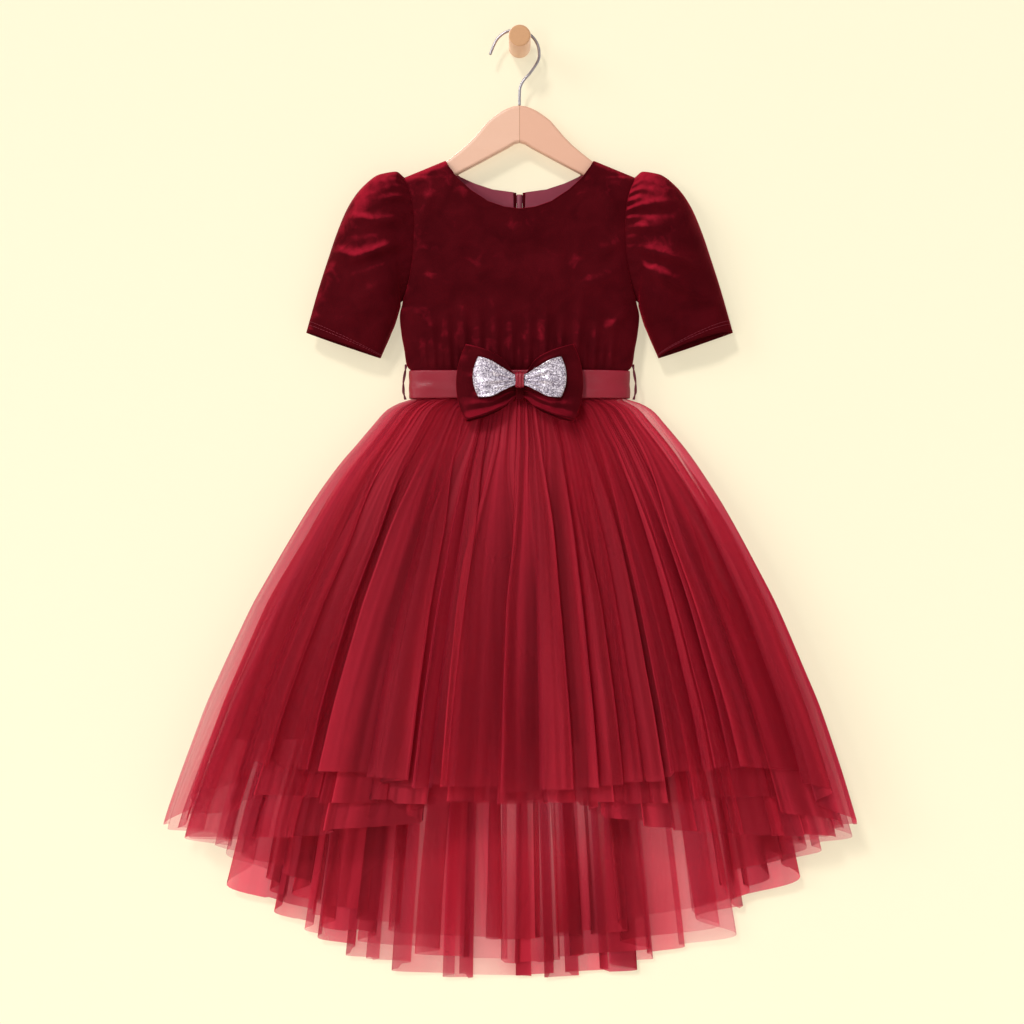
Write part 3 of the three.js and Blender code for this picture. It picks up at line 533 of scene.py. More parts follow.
def makeNet():
    material, tree, shader = newMaterial("fineNet")
    streaks = placeGroup(tree, streakGroup, {"Lines": netLook["lines"], "Length": netLook["lineLength"]})
    # painted highlight: lighter colour where a fold turns and along the gathered lines
    turn = addNode(tree, "ShaderNodeAttribute", (-900, 200), attribute_name="foldTurn")
    paintedFoldHighlight = addMath(tree, "MULTIPLY", turn.outputs["Fac"], netLook["foldLight"])
    paintedLineHighlight = addMath(tree, "MULTIPLY", streaks.outputs["Line"], netLook["lineLight"])
    paintedHighlight = addMath(tree, "ADD", paintedFoldHighlight, paintedLineHighlight, clamp=True)
    mix = addNode(tree, "ShaderNodeMix", (-300, 200), data_type="RGBA")
    tree.links.new(paintedHighlight, mix.inputs["Factor"])
    mix.inputs[6].default_value = netLook["deep"]
    mix.inputs[7].default_value = netLook["paintedHighlightColour"]
    # painted shade: darker colour low in each fold
    low = addNode(tree, "ShaderNodeAttribute", (-900, 400), attribute_name="paintedFoldShade")
    paintedShadeMix = addNode(tree, "ShaderNodeMix", (-100, 200), data_type="RGBA")
    tree.links.new(addMath(tree, "MULTIPLY", low.outputs["Fac"], netLook["foldShade"]), paintedShadeMix.inputs["Factor"])
    tree.links.new(mix.outputs[2], paintedShadeMix.inputs[6])
    paintedShadeMix.inputs[7].default_value = netLook["low"]
    tree.links.new(paintedShadeMix.outputs[2], shader.inputs["Base Color"])
    setRoughness(tree, shader, streaks.outputs["Line"], *netLook["roughness"])
    setInputs(shader, {"Specular IOR Level": netLook["specular"]})
    addBump(tree, shader, streaks.outputs["Line"], *netLook["bump"])
    coordinate = addNode(tree, "ShaderNodeTexCoord", (-1200, -400))
    parts = addNode(tree, "ShaderNodeSeparateXYZ", (-1000, -400))
    tree.links.new(coordinate.outputs["Object"], parts.inputs[0])
    crossings = []
    for operation in ("ADD", "SUBTRACT"):
        slant = addMath(tree, operation, parts.outputs["X"], parts.outputs["Z"])
        turns = addMath(tree, "MULTIPLY", slant, math.pi / (math.sqrt(2) * netLook["cellSide"]))
        crossings.append(addMath(tree, "ABSOLUTE", addMath(tree, "SINE", turns)))
    coverage = addNode(tree, "ShaderNodeMapRange", (-600, -400))
    setInputs(coverage, {
        "From Min": netLook["threadEdge"][0],
        "From Max": netLook["threadEdge"][1],
        "To Min": netLook["thread"],
        "To Max": netLook["open"],
    })
    tree.links.new(addMath(tree, "MULTIPLY", crossings[0], crossings[1]), coverage.inputs["Value"])
    denseFold = addMath(tree, "MULTIPLY", turn.outputs["Fac"], netLook["foldDensity"])
    dense = addMath(tree, "ADD", coverage.outputs["Result"], denseFold)
    banded = addMath(tree, "SUBTRACT", streaks.outputs["Band"], 0.5)
    banded = addMath(tree, "MULTIPLY", banded, netLook["bandContrast"])
    dense = addMath(tree, "ADD", dense, banded, clamp=True)
    passing = addNode(tree, "ShaderNodeBsdfTranslucent", (0, -300))
    setInputs(passing, {"Color": netLook["through"]})
    threads = addNode(tree, "ShaderNodeMixShader", (300, -100))
    setInputs(threads, {"Fac": netLook["passing"]})
    gap = addNode(tree, "ShaderNodeBsdfTransparent", (300, -400))
    setInputs(gap, {"Color": netLook["gap"]})
    final = addNode(tree, "ShaderNodeMixShader", (600, 0))
    tree.links.new(shader.outputs[0], threads.inputs[1])
    tree.links.new(passing.outputs[0], threads.inputs[2])
    tree.links.new(dense, final.inputs["Fac"])
    tree.links.new(gap.outputs[0], final.inputs[1])
    tree.links.new(threads.outputs[0], final.inputs[2])
    tree.links.new(final.outputs[0], tree.nodes["Material Output"].inputs["Surface"])
    return material


# Glitter cloth: flakes that each have their own bump and roughness, some of them metal that shines, with
# painted glints: each flake's own brightness, from dark to pale
glitterLook = {
    "flakes": 950,
    # place along the ramp, colour
    "colours": [(0.0, (0.15, 0.12, 0.17, 1)), (0.45, (0.42, 0.37, 0.45, 1)), (1.0, (0.86, 0.80, 0.90, 1))],
    "plainShare": 0.45,
    "metal": 0.75,
    "roughness": (0.16, 0.5),
    "bump": (0.8, 0.0005),
}


def makeGlitter():
    material, tree, shader = newMaterial("silverGlitter")
    coordinate = addNode(tree, "ShaderNodeTexCoord", (-1200, 0))
    flakes = addNode(tree, "ShaderNodeTexVoronoi", (-900, 0), feature="F1")
    setInputs(flakes, {"Scale": glitterLook["flakes"]})
    tree.links.new(coordinate.outputs["Object"], flakes.inputs["Vector"])
    split = addNode(tree, "ShaderNodeSeparateColor", (-700, 0))
    tree.links.new(flakes.outputs["Color"], split.inputs[0])
    # painted glints: each flake gets its own brightness from the ramp
    ramp = addNode(tree, "ShaderNodeValToRGB", (-450, 100))
    stops = ramp.color_ramp.elements
    stops.new(glitterLook["colours"][1][0])
    for stop, (place, colour) in zip(stops, glitterLook["colours"]):
        stop.position = place
        stop.color = colour
    tree.links.new(split.outputs["Red"], ramp.inputs["Fac"])
    tree.links.new(ramp.outputs["Color"], shader.inputs["Base Color"])
    metal = addMath(tree, "GREATER_THAN", split.outputs["Green"], glitterLook["plainShare"])
    tree.links.new(addMath(tree, "MULTIPLY", metal, glitterLook["metal"]), shader.inputs["Metallic"])
    setRoughness(tree, shader, split.outputs["Blue"], *glitterLook["roughness"])
    addBump(tree, shader, split.outputs["Red"], *glitterLook["bump"])
    return material


# Pale wood: two halves glued at the middle, the left one lighter
woodLook = {
    "left": (0.700, 0.430, 0.320, 1),
    "right": (0.660, 0.370, 0.265, 1),
    "streak": (0.600, 0.320, 0.200, 1),
    "seam": (0.350, 0.170, 0.100, 1),
    "seamHalf": 0.00035,
    "seamShade": 0.8,
    "streakShare": 0.32,
    "coat": (0.25, 0.3),
    "roughness": (0.38, 0.55),
    "bump": (0.2, 0.0004),
}


def makeHangerWood():
    material, tree, shader = newMaterial("paleHangerWood")
    grain = placeGroup(tree, grainGroup, {"Stretch": (0.16, 1.0, 1.0), "Streaks": 90.0, "Fibres": 900.0})
    coordinate = addNode(tree, "ShaderNodeTexCoord", (-1200, 0))
    split = addNode(tree, "ShaderNodeSeparateXYZ", (-1000, 0))
    tree.links.new(coordinate.outputs["Object"], split.inputs[0])
    rightHalf = addMath(tree, "GREATER_THAN", split.outputs["X"], 0.0)
    halves = addNode(tree, "ShaderNodeMix", (-600, 200), data_type="RGBA")
    halves.inputs[6].default_value = woodLook["left"]
    halves.inputs[7].default_value = woodLook["right"]
    tree.links.new(rightHalf, halves.inputs["Factor"])
    streaked = addNode(tree, "ShaderNodeMix", (-400, 200), data_type="RGBA")
    streak = addMath(tree, "MULTIPLY", grain.outputs["Streak"], woodLook["streakShare"])
    tree.links.new(streak, streaked.inputs["Factor"])
    tree.links.new(halves.outputs[2], streaked.inputs[6])
    streaked.inputs[7].default_value = woodLook["streak"]
    fromSeam = addMath(tree, "ABSOLUTE", split.outputs["X"])
    nearSeam = addMath(tree, "LESS_THAN", fromSeam, woodLook["seamHalf"])
    joined = addNode(tree, "ShaderNodeMix", (-200, 200), data_type="RGBA")
    tree.links.new(addMath(tree, "MULTIPLY", nearSeam, woodLook["seamShade"]), joined.inputs["Factor"])
    tree.links.new(streaked.outputs[2], joined.inputs[6])
    joined.inputs[7].default_value = woodLook["seam"]
    tree.links.new(joined.outputs[2], shader.inputs["Base Color"])
    setRoughness(tree, shader, grain.outputs["Fibre"], *woodLook["roughness"])
    setInputs(shader, {"Coat Weight": woodLook["coat"][0], "Coat Roughness": woodLook["coat"][1]})
    addBump(tree, shader, grain.outputs["Fibre"], *woodLook["bump"])
    return material


# Peg wood: streaks along its side and rings on its end
pegLook = {
    "side": [(0.76, 0.50, 0.36, 1), (0.60, 0.34, 0.21, 1)],
    "end": [(0.60, 0.33, 0.17, 1), (0.44, 0.22, 0.10, 1)],
    "rings": 260,
    "ringWobble": 3.0,
    "endFacing": 0.9,
    "roughness": (0.45, 0.65),
    "bump": (0.25, 0.0004),
}


def makePegWood():
    material, tree, shader = newMaterial("turnedPegWood")
    grain = placeGroup(tree, grainGroup, {"Stretch": (1.0, 0.12, 1.0), "Streaks": 110.0, "Fibres": 1000.0})
    coordinate = addNode(tree, "ShaderNodeTexCoord", (-1200, 0))
    rings = addNode(tree, "ShaderNodeTexWave", (-900, 0), wave_type="RINGS", rings_direction="Y")
    setInputs(rings, {"Scale": pegLook["rings"], "Distortion": pegLook["ringWobble"]})
    tree.links.new(coordinate.outputs["Object"], rings.inputs["Vector"])
    geometry = addNode(tree, "ShaderNodeNewGeometry", (-1200, 300))
    facing = addNode(tree, "ShaderNodeSeparateXYZ", (-1000, 300))
    tree.links.new(geometry.outputs["True Normal"], facing.inputs[0])
    outward = addMath(tree, "ABSOLUTE", facing.outputs["Y"])
    onEnd = addMath(tree, "GREATER_THAN", outward, pegLook["endFacing"])
    side = addNode(tree, "ShaderNodeMix", (-500, 300), data_type="RGBA")
    side.inputs[6].default_value = pegLook["side"][0]
    side.inputs[7].default_value = pegLook["side"][1]
    tree.links.new(grain.outputs["Streak"], side.inputs["Factor"])
    end = addNode(tree, "ShaderNodeMix", (-500, 0), data_type="RGBA")
    end.inputs[6].default_value = pegLook["end"][0]
    end.inputs[7].default_value = pegLook["end"][1]
    tree.links.new(rings.outputs["Fac"], end.inputs["Factor"])
    both = addNode(tree, "ShaderNodeMix", (-250, 150), data_type="RGBA")
    tree.links.new(onEnd, both.inputs["Factor"])
    tree.links.new(side.outputs[2], both.inputs[6])
    tree.links.new(end.outputs[2], both.inputs[7])
    tree.links.new(both.outputs[2], shader.inputs["Base Color"])
    setRoughness(tree, shader, grain.outputs["Fibre"], *pegLook["roughness"])
    addBump(tree, shader, grain.outputs["Fibre"], *pegLook["bump"])
    return material


# Drawn wire and the small zip parts: worn metal with fine scratches
metalLook = {
    "cloudContrast": 1.5,
    "cloudSize": 120,
    "scratchSize": 600,
    "smoother": 0.08,
    "rougher": 0.12,
    "bump": (0.12, 0.0002),
}


def makeMetal(name, low, high, metallic, roughness):
    material, tree, shader = newMaterial(name)
    mottle = placeGroup(tree, mottleGroup, {
        "Low": low,
        "High": high,
        "Bias": 0.5,
        "Contrast": metalLook["cloudContrast"],
        "Cloud Size": metalLook["cloudSize"],
        "Grain Size": metalLook["scratchSize"],
    })
    tree.links.new(mottle.outputs["Color"], shader.inputs["Base Color"])
    setInputs(shader, {"Metallic": metallic})
    lowest = roughness - metalLook["smoother"]
    highest = roughness + metalLook["rougher"]
    setRoughness(tree, shader, mottle.outputs["Grain"], lowest, highest)
    addBump(tree, shader, mottle.outputs["Grain"], *metalLook["bump"])
    return material


# the last number sets how strong the painted highlight on the folds is
velvet = makeVelvet("wineVelvet", 0.40, 0.40, 0.85)
bowVelvet = makeVelvet("wineBowVelvet", 0.34, 0.50, 0.40)
beltSatin = makeSatin("sashSatin", (0.200, 0.0042, 0.0150, 1), (0.260, 0.0070, 0.0225, 1), 0.27)
neckSatin = makeSatin("neckSatin", (0.190, 0.016, 0.036, 1), (0.260, 0.026, 0.056, 1), 0.46)
skirtSatin = makeSatin("skirtSatin", (0.200, 0.008, 0.018, 1), (0.290, 0.014, 0.030, 1), 0.45)
net = makeNet()
glitter = makeGlitter()
hangerWood = makeHangerWood()
pegWood = makePegWood()
steelWire = makeMetal("drawnSteel", (0.30, 0.27, 0.30, 1), (0.46, 0.43, 0.46, 1), 1.0, 0.34)
zipEnamel = makeMetal("wineEnamel", (0.20, 0.022, 0.045, 1), (0.30, 0.035, 0.070, 1), 0.35, 0.34)
zipNylon = makeMetal("wineNylon", (0.19, 0.026, 0.050, 1), (0.26, 0.036, 0.070, 1), 0.0, 0.42)
twists = 5200
loopThread = makeSatin("loopThread", (0.080, 0.0050, 0.0120, 1), (0.125, 0.0080, 0.0190, 1), 0.55, twists)
sewingThread = makeSatin("sewingThread", (0.170, 0.012, 0.028, 1), (0.260, 0.022, 0.046, 1), 0.55, twists)
print("materials made")


# Bodice: z, half width, depth from the middle plane, middle plane
bodiceRows = [
    (-132, 131, 11.5, -18), (-153, 130.5, 12.5, -18.5), (-165, 126, 13.5, -19), (-181, 121.5, 14.5, -19.5),
    (-206, 119.5, 15.5, -20), (-234, 120, 16, -20.5), (-257, 122.5, 16.5, -21), (-276, 126.5, 17, -21),
    (-294, 132, 17, -21), (-309, 135.3, 17, -21), (-330, 133.3, 17.3, -21.5), (-348, 130, 17.6, -22),
    (-362, 128, 17.8, -22), (-367.5, 126, 17.6, -22), (-370, 122.5, 16.8, -22), (-396, 122.5, 16.8, -22),
]
bodiceHalf = smoothTable(bodiceRows, 1)
bodiceDepth = smoothTable(bodiceRows, 2)
bodiceMiddle = smoothTable(bodiceRows, 3)

# Upper edges from the centre line out: x, z
frontEdgeRows = [
    (0, -189.3), (19.3, -187), (38.7, -180.6), (58, -167.7), (71, -153.1), (80, -140.5), (83.9, -132.8),
    (131, -152),
]
backEdgeRows = [
    (0, -167.5), (32.4, -163.3), (51.9, -156.8), (68.3, -149.3), (80, -140), (83.9, -132.8), (131, -152),
]
bodice = {
    "columns": 150,
    "rows": 120,
    "wall": 1.1,
    "shoulderTop": -132.8,
    "neckHalf": 83.9,
    "shoulderX": 131,
    "shoulderTurn": 9,
    "gatherZone": (-250, 50),
    "gatherHeight": 1.8,
    "gatherDraw": 1.2,
    "creaseHeight": 1.7,
    "beltEdge": (-371.5, 5),
    "rollHeight": 2.2,
    "armholeTop": -152,
    "armholeBottom": -296,
    "armholeOpening": 10.5,
    "waist": -396,
    # gathers that the waist seam holds: x, z at the seam, x, z at the far end, height, width
    "frontGathers": [
        (-104, -369, -110, -318, 1.4, 3.2), (-95, -369, -101, -290, 2.0, 3.6),
        (-86, -369, -89, -322, 1.6, 2.6),
        (-78, -369, -84, -272, 2.6, 3.6), (-69, -369, -71, -312, 1.8, 2.4), (-60, -369, -66, -262, 2.8, 3.8),
        (-51, -369, -52, -318, 1.6, 2.4), (-43, -369, -47, -282, 2.4, 3.2), (-34, -369, -35, -306, 2.0, 2.6),
        (-25, -369, -29, -268, 2.6, 3.6), (-16, -369, -16, -322, 1.6, 2.4), (-8, -369, -9, -292, 2.2, 3.0),
        (1, -369, 0, -314, 1.8, 2.6), (10, -369, 12, -276, 2.6, 3.4), (19, -369, 19, -316, 1.6, 2.4),
        (28, -369, 31, -264, 2.8, 3.8), (37, -369, 38, -308, 1.8, 2.4), (46, -369, 49, -286, 2.4, 3.2),
        (55, -369, 57, -318, 1.6, 2.6), (64, -369, 70, -270, 2.8, 3.8), (73, -369, 75, -314, 1.8, 2.6),
        (83, -369, 89, -284, 2.4, 3.6), (92, -369, 96, -320, 1.6, 2.8), (102, -369, 108, -300, 1.6, 3.4),
    ],
    "backGathers": [
        (14, -369, 15, -312, 1.6, 2.6), (24, -369, 27, -280, 2.2, 3.4), (34, -369, 35, -318, 1.5, 2.4),
        (45, -369, 49, -274, 2.4, 3.6), (56, -369, 57, -316, 1.6, 2.6), (67, -369, 71, -288, 2.2, 3.4),
        (79, -369, 82, -312, 1.6, 2.8), (91, -369, 97, -292, 1.9, 3.4), (103, -369, 108, -318, 1.3, 3.0),
    ],
    # long soft creases across the chest: x, z of each end, height, width
    "frontCreases": [
        (-118, -262, -66, -284, 1.5, 9), (-116, -232, -84, -246, 1.1, 7), (118, -258, 62, -282, 1.6, 9),
        (116, -228, 82, -244, 1.1, 7), (-52, -200, -58, -262, -0.9, 10), (50, -202, 60, -258, -0.9, 10),
        (-20, -214, 24, -226, 0.7, 12), (-124, -300, -92, -330, 1.4, 7), (124, -302, 94, -332, 1.4, 7),
        (-98, -168, -112, -206, 1.0, 6), (98, -168, 112, -206, 1.0, 6),
    ],
    "backCreases": [
        (116, -250, 70, -276, 1.4, 9), (112, -210, 78, -232, 1.0, 8), (60, -186, 66, -246, -0.8, 10),
        (120, -304, 92, -334, 1.3, 7), (30, -214, 34, -262, 0.7, 9),
    ],
}


def armholeAt(z):
    middle = (bodice["armholeTop"] + bodice["armholeBottom"]) / 2
    reach = np.abs((z - middle) / ((bodice["armholeTop"] - bodice["armholeBottom"]) / 2))
    return bodice["armholeOpening"] * np.clip(1 - np.clip(reach, 0, 1) ** 2.5, 0, 1) ** 0.4


# Points of the bodice: facing -1 is the front and 1 the back; across runs from -1 to 1
def bodicePoints(facing, across, z, inset, bump):
    width = np.abs(across)
    x = width * bodice["shoulderX"]
    frontX = [row[0] for row in frontEdgeRows]
    frontZ = [row[1] for row in frontEdgeRows]
    ridge = np.where(x < bodice["neckHalf"], bodice["shoulderTop"], np.interp(x, frontX, frontZ))
    drop = np.clip((ridge - z) / bodice["shoulderTurn"], 0, 1)
    turn = np.sqrt(np.clip(1 - (1 - drop) ** 2, 0, 1))
    opening = armholeAt(z)
    crown = np.clip(1 - width**3, 0, 1) ** (1 / 3)
    offset = opening + (bodiceDepth(z) - inset - opening) * crown
    y = bodiceMiddle(z) + facing * (seamGap / 2 + turn * offset + bump * crown**0.7)
    return np.stack([across * (bodiceHalf(z) - inset), y, z], -1)


def bodicePanel(facing, firstAcross, lastAcross, edgeRows, inset, lowest, gathers, creases, roll):
    if firstAcross < 0:
        spread = np.linspace(-1, 1, bodice["columns"])
        across = np.sign(spread) * (1 - (1 - np.abs(spread)) ** 1.5)
    else:
        spread = np.linspace(0, 1, bodice["columns"] // 2)
        across = firstAcross + (lastAcross - firstAcross) * (1 - (1 - spread) ** 1.3)
    edgeX = [row[0] for row in edgeRows]
    edgeZ = [row[1] for row in edgeRows]
    top = np.interp(np.abs(across) * bodice["shoulderX"], edgeX, edgeZ)
    step = np.linspace(0, 1, bodice["rows"])[:, None] ** 1.25
    z = top[None, :] + step * (lowest - top[None, :])
    wide = np.broadcast_to(across[None, :], z.shape)
    x = wide * bodiceHalf(z)
    sideX = np.abs(x) if facing > 0 else x
    crease = bodice["creaseHeight"] * creaseHeight(sideX, z, creases)
    gather = bodice["gatherHeight"] * creaseHeight(sideX, z, gathers, held=True) - bodice["gatherDraw"]
    zoneTop, zoneLength = bodice["gatherZone"]
    beltTop, beltBlend = bodice["beltEdge"]
    bump = (crease + gather * ease((zoneTop - z) / zoneLength)) * ease((z - beltTop) / beltBlend)
    fromEdge = (top[None, :] - z) / bodice["rollHeight"]
    edgeRoll = roll * np.exp(-(fromEdge**2)) * (np.abs(x) < bodice["neckHalf"])
    return bodicePoints(facing, wide, z, inset, bump + edgeRoll)


frontPanel = bodicePanel(
    -1, -1, 1, frontEdgeRows, 0, bodice["waist"], bodice["frontGathers"], bodice["frontCreases"], 0.9
)
mesh = gridMesh("bodiceFront", frontPanel)
piece = addPiece("bodiceFront", mesh, velvet, ["bodice_front"], wall=bodice["wall"])

# the back panels start beside the zip; the neck lining: first and last place across, inset, lowest z, wall
zipSlot = 3.7 / bodice["shoulderX"]
neckLining = {"across": (0.055, 0.585), "inset": 1.6, "lowest": -250, "wall": 0.7}
for side, sign in (("left", -1), ("right", 1)):
    panel = bodicePanel(
        1, zipSlot, 1, backEdgeRows, 0, bodice["waist"], bodice["backGathers"], bodice["backCreases"], 0.6
    )
    panel[..., 0] *= sign
    name = "bodiceBack" + side.capitalize()
    mesh = gridMesh(name, panel)
    piece = addPiece(name, mesh, velvet, ["bodice_back_" + side], wall=bodice["wall"])
    lining = bodicePanel(
        1, *neckLining["across"], backEdgeRows, neckLining["inset"], neckLining["lowest"],
        [], bodice["backCreases"][2:3], 0
    )
    lining[..., 0] *= sign
    name = "neckLining" + side.capitalize()
    mesh = gridMesh(name, lining)
    piece = addPiece(name, mesh, neckSatin, ["neck_lining_" + side], wall=neckLining["wall"])
print("bodice made")


# Sleeves: outer edge x, z, inner edge x, z, depth in front, depth behind
sleeveRows = [
    (131, -152.5, 131, -290.4, 12, 12), (139.6, -145.5, 134, -297.2, 19, 14),
    (157.7, -148.6, 136.4, -305.1, 24, 15), (178, -163.8, 138.4, -311.9, 27, 16),
    (193.3, -185.3, 141, -319.8, 28, 16), (206.8, -216.8, 144, -326.6, 26, 16),
    (215.5, -242.5, 147.5, -335.1, 22, 15), (226.8, -277.5, 151.8, -344.7, 18, 14),
    (241, -327.5, 157, -356.3, 14, 13),
]
sleeve = {
    "middle": -20,
    "around": 200,
    "along": 96,
    "wall": 1.1,
    "capGathers": 34,
    "capHeight": 2.0,
    "capFade": 0.8,
    "seamReach": 1.2,
    "seamInset": 0.9,
    "seamRun": 9,
    "faceBlend": 1.4,
    "rowLength": 52,
    "hemStitch": (9, 13),
    "stitchDepth": 0.35,
    "stitchWidth": 1.6,
    "hemStart": 6.9,
    "hemBlend": 1.1,
    "hemWave": 1.2,
    "leftBow": 1.5,
    "rightBow": 5.5,
    # creases across each sleeve: distance out x, z of each end, height, width
    "leftCreases": [
        (127, -227, 190, -250, 4.4, 6), (180, -247, 222, -234, 3.4, 6), (129, -240, 206, -264, -2.4, 7),
        (128, -199, 160, -206, 3.0, 5), (154, -206, 190, -198, 2.6, 5), (130, -212, 182, -220, -1.6, 6),
        (133, -268, 204, -304, 2.2, 9), (146, -292, 228, -330, 1.8, 8), (126, -176, 158, -180, 1.8, 4),
        (170, -176, 200, -232, 1.2, 8),
    ],
    "rightCreases": [
        (124, -186, 182, -183, 3.2, 5), (126, -197, 176, -196, -1.6, 5), (130, -233, 202, -256, 4.2, 6),
        (132, -244, 200, -268, -2.0, 6), (133, -255, 232, -301, 3.6, 7), (136, -270, 222, -314, -1.4, 7),
        (128, -210, 168, -214, 1.8, 5), (160, -314, 228, -336, 1.8, 6), (174, -180, 204, -236, 1.2, 8),
    ],
    "backCreases": [
        (130, -226, 200, -246, 2.2, 8), (132, -258, 214, -292, 2.0, 8), (134, -196, 178, -204, 1.6, 6),
        (140, -286, 218, -322, 1.6, 7),
    ],
}


def sleeveGrid(sign):
    count = len(sleeveRows)
    keyed = [(i, *row) for i, row in enumerate(sleeveRows)]
    readers = [smoothTable(keyed, column) for column in range(1, 7)]
    step = np.linspace(0, count - 1, sleeve["along"])[:, None]
    outX, outZ, inX, inZ, front, back = [reader(step) for reader in readers]
    angle = np.linspace(0, 2 * np.pi, sleeve["around"], endpoint=False)[None, :]
    along = np.cos(angle)
    around = np.sin(angle)
    z = (outZ + inZ) / 2 + along * (outZ - inZ) / 2
    x = (outX + inX) / 2 + along * (outX - inX) / 2
    seamReach = sleeve["seamReach"]
    seamBlend = ease(1 - step / seamReach)
    seamX = bodiceHalf(z) - sleeve["seamInset"] + sleeve["seamRun"] * np.clip(step, 0, seamReach)
    x = x * (1 - seamBlend) + seamX * seamBlend
    creases = sleeve["leftCreases"] if sign < 0 else sleeve["rightCreases"]
    inFront = ease(around * sleeve["faceBlend"])
    behind = ease(-around * sleeve["faceBlend"])
    crease = creaseHeight(x, z, creases) * inFront + creaseHeight(x, z, sleeve["backCreases"]) * behind
    shaker = random.Random(31 if sign < 0 else 47)
    phase = angle * sleeve["capGathers"] + 2.2 * np.sin(3 * angle + shaker.random() * 6) + shaker.random() * 6
    strength = 0.65 + 0.35 * np.sin(angle * 5 + shaker.random() * 6)
    fading = ease(step / 0.3) * np.exp(-step / sleeve["capFade"])
    upper = 0.35 + 0.65 * np.clip(along + 0.75, 0, 1)
    gather = sleeve["capHeight"] * np.sin(phase) * strength * fading * upper
    late = ease((step - sleeve["hemStart"]) / sleeve["hemBlend"])
    wave = sleeve["hemWave"] * np.sin(angle * 4 + 1.3 + sign) * late
    stitch = np.zeros_like(z)
    fromHem = (count - 1 - step) * sleeve["rowLength"]
    for distance in sleeve["hemStitch"]:
        off = (fromHem - distance) / sleeve["stitchWidth"]
        stitch = stitch - sleeve["stitchDepth"] * np.exp(-(off**2))
    depth = np.where(around > 0, front, back) + crease * ease(step * 1.4) + gather + wave + stitch
    y = sleeve["middle"] - np.sign(around) * np.abs(around) ** 0.8 * depth
    hemBow = np.clip(around, 0, 1) * late * (sleeve["rightBow"] if sign > 0 else sleeve["leftBow"])
    return np.stack([sign * x, y, z + hemBow], -1)


for side, sign in (("left", -1), ("right", 1)):
    grid = sleeveGrid(sign)
    name = "sleeve" + side.capitalize()
    mesh = gridMesh(name, grid, closed=True, inside=(sign * 170, -20, -250))
    piece = addPiece(name, mesh, velvet, ["sleeve_" + side], wall=sleeve["wall"])


# Sewing: two rows of short stitches round each sleeve above its hem
hemSewing = {"count": 66, "share": 0.72, "thick": 0.34, "rise": 0.25, "rows": (8.5, 12.5)}
stitchFaces = [(0, 1, 5, 4), (1, 2, 6, 5), (2, 3, 7, 6), (3, 0, 4, 7), (3, 2, 1, 0), (4, 5, 6, 7)]


def stitchMesh(name, rings):
    points = []
    faces = []
    for ring, outward in rings:
        size = len(ring)
        for k in range(hemSewing["count"]):
            ends = []
            for share in (k, k + hemSewing["share"]):
                place = share / hemSewing["count"] * size
                low = int(place) % size
                part = place - int(place)
                ends.append(ring[low] * (1 - part) + ring[(low + 1) % size] * part)
                lift = outward[low]
            run = ends[1] - ends[0]
            aside = np.cross(run, lift)
            aside = aside / np.linalg.norm(aside) * hemSewing["thick"] / 2
            base = len(points)
            for end in ends:
                for up, over in ((0, -1), (0, 1), (1, 0.6), (1, -0.6)):
                    points.append((end + lift * up * hemSewing["rise"] + aside * over) * mm)
            for face in stitchFaces:
                faces.append(tuple(base + corner for corner in face))
    return newMesh(name, [tuple(point) for point in points], faces, smooth=False)


for side, sign in (("left", -1), ("right", 1)):
    grid = sleeveGrid(sign)
    rings = []
    for distance in hemSewing["rows"]:
        place = (len(grid) - 1) * (1 - distance / sleeve["rowLength"] / (len(sleeveRows) - 1))
        low = int(place)
        ring = grid[low] + (grid[low + 1] - grid[low]) * (place - low)
        around = np.roll(ring, -1, axis=0) - np.roll(ring, 1, axis=0)
        outward = np.cross(around, grid[low + 1] - grid[low])
        outward = outward / np.linalg.norm(outward, axis=1)[:, None]
        facing = np.sign(np.sum(outward * (ring - ring.mean(axis=0)), axis=1))[:, None]
        rings.append((ring, outward * facing))
    name = "hemStitches" + side.capitalize()
    addPiece(name, stitchMesh(name, rings), sewingThread, [])
print("sleeves made")


# Sash: a flat satin band round the waist, with shallow long folds
sash = {
    "half": 124.5, "depth": 18.6, "middle": -22, "top": -370.8, "bottom": -401.8, "around": 240, "rows": 26,
    "swell": 0.5, "fold": 0.5, "ripple": 0.35, "wander": 0.35,
}


def sashGrid():
    angle = np.linspace(0, 2 * np.pi, sash["around"], endpoint=False)[None, :]
    share = np.linspace(0, 1, sash["rows"])[:, None]
    cosine = np.sign(np.cos(angle)) * np.abs(np.cos(angle)) ** (2 / 3)
    sine = np.sign(np.sin(angle)) * np.abs(np.sin(angle)) ** (2 / 3)
    x = cosine * sash["half"]
    swell = sash["swell"] * np.sin(np.pi * share) ** 0.4
    middleFade = np.exp(-(((share - 0.5) / 0.35) ** 2))
    fold = sash["fold"] * np.sin(share * 11 + 0.8 * np.sin(x / 23)) * middleFade
    towardsSides = ease((np.abs(x) - 60) / 50)
    ripple = sash["ripple"] * np.sin(x / 7.5 + 3 * share) * np.sin(np.pi * share) * towardsSides
    out = swell + fold * 0.6 + ripple
    wander = sash["wander"] * np.sin(x / 31 + share * 2)
    z = sash["top"] + share * (sash["bottom"] - sash["top"]) + wander
    half = sash["half"] + out
    depth = sash["depth"] + out
    return np.stack([cosine * half, sash["middle"] + sine * depth, z], -1)


mesh = gridMesh("sashBelt", sashGrid(), closed=True, inside=(0, -22, -386))
piece = addPiece("sashBelt", mesh, beltSatin, ["sash_belt"], wall=0.9)


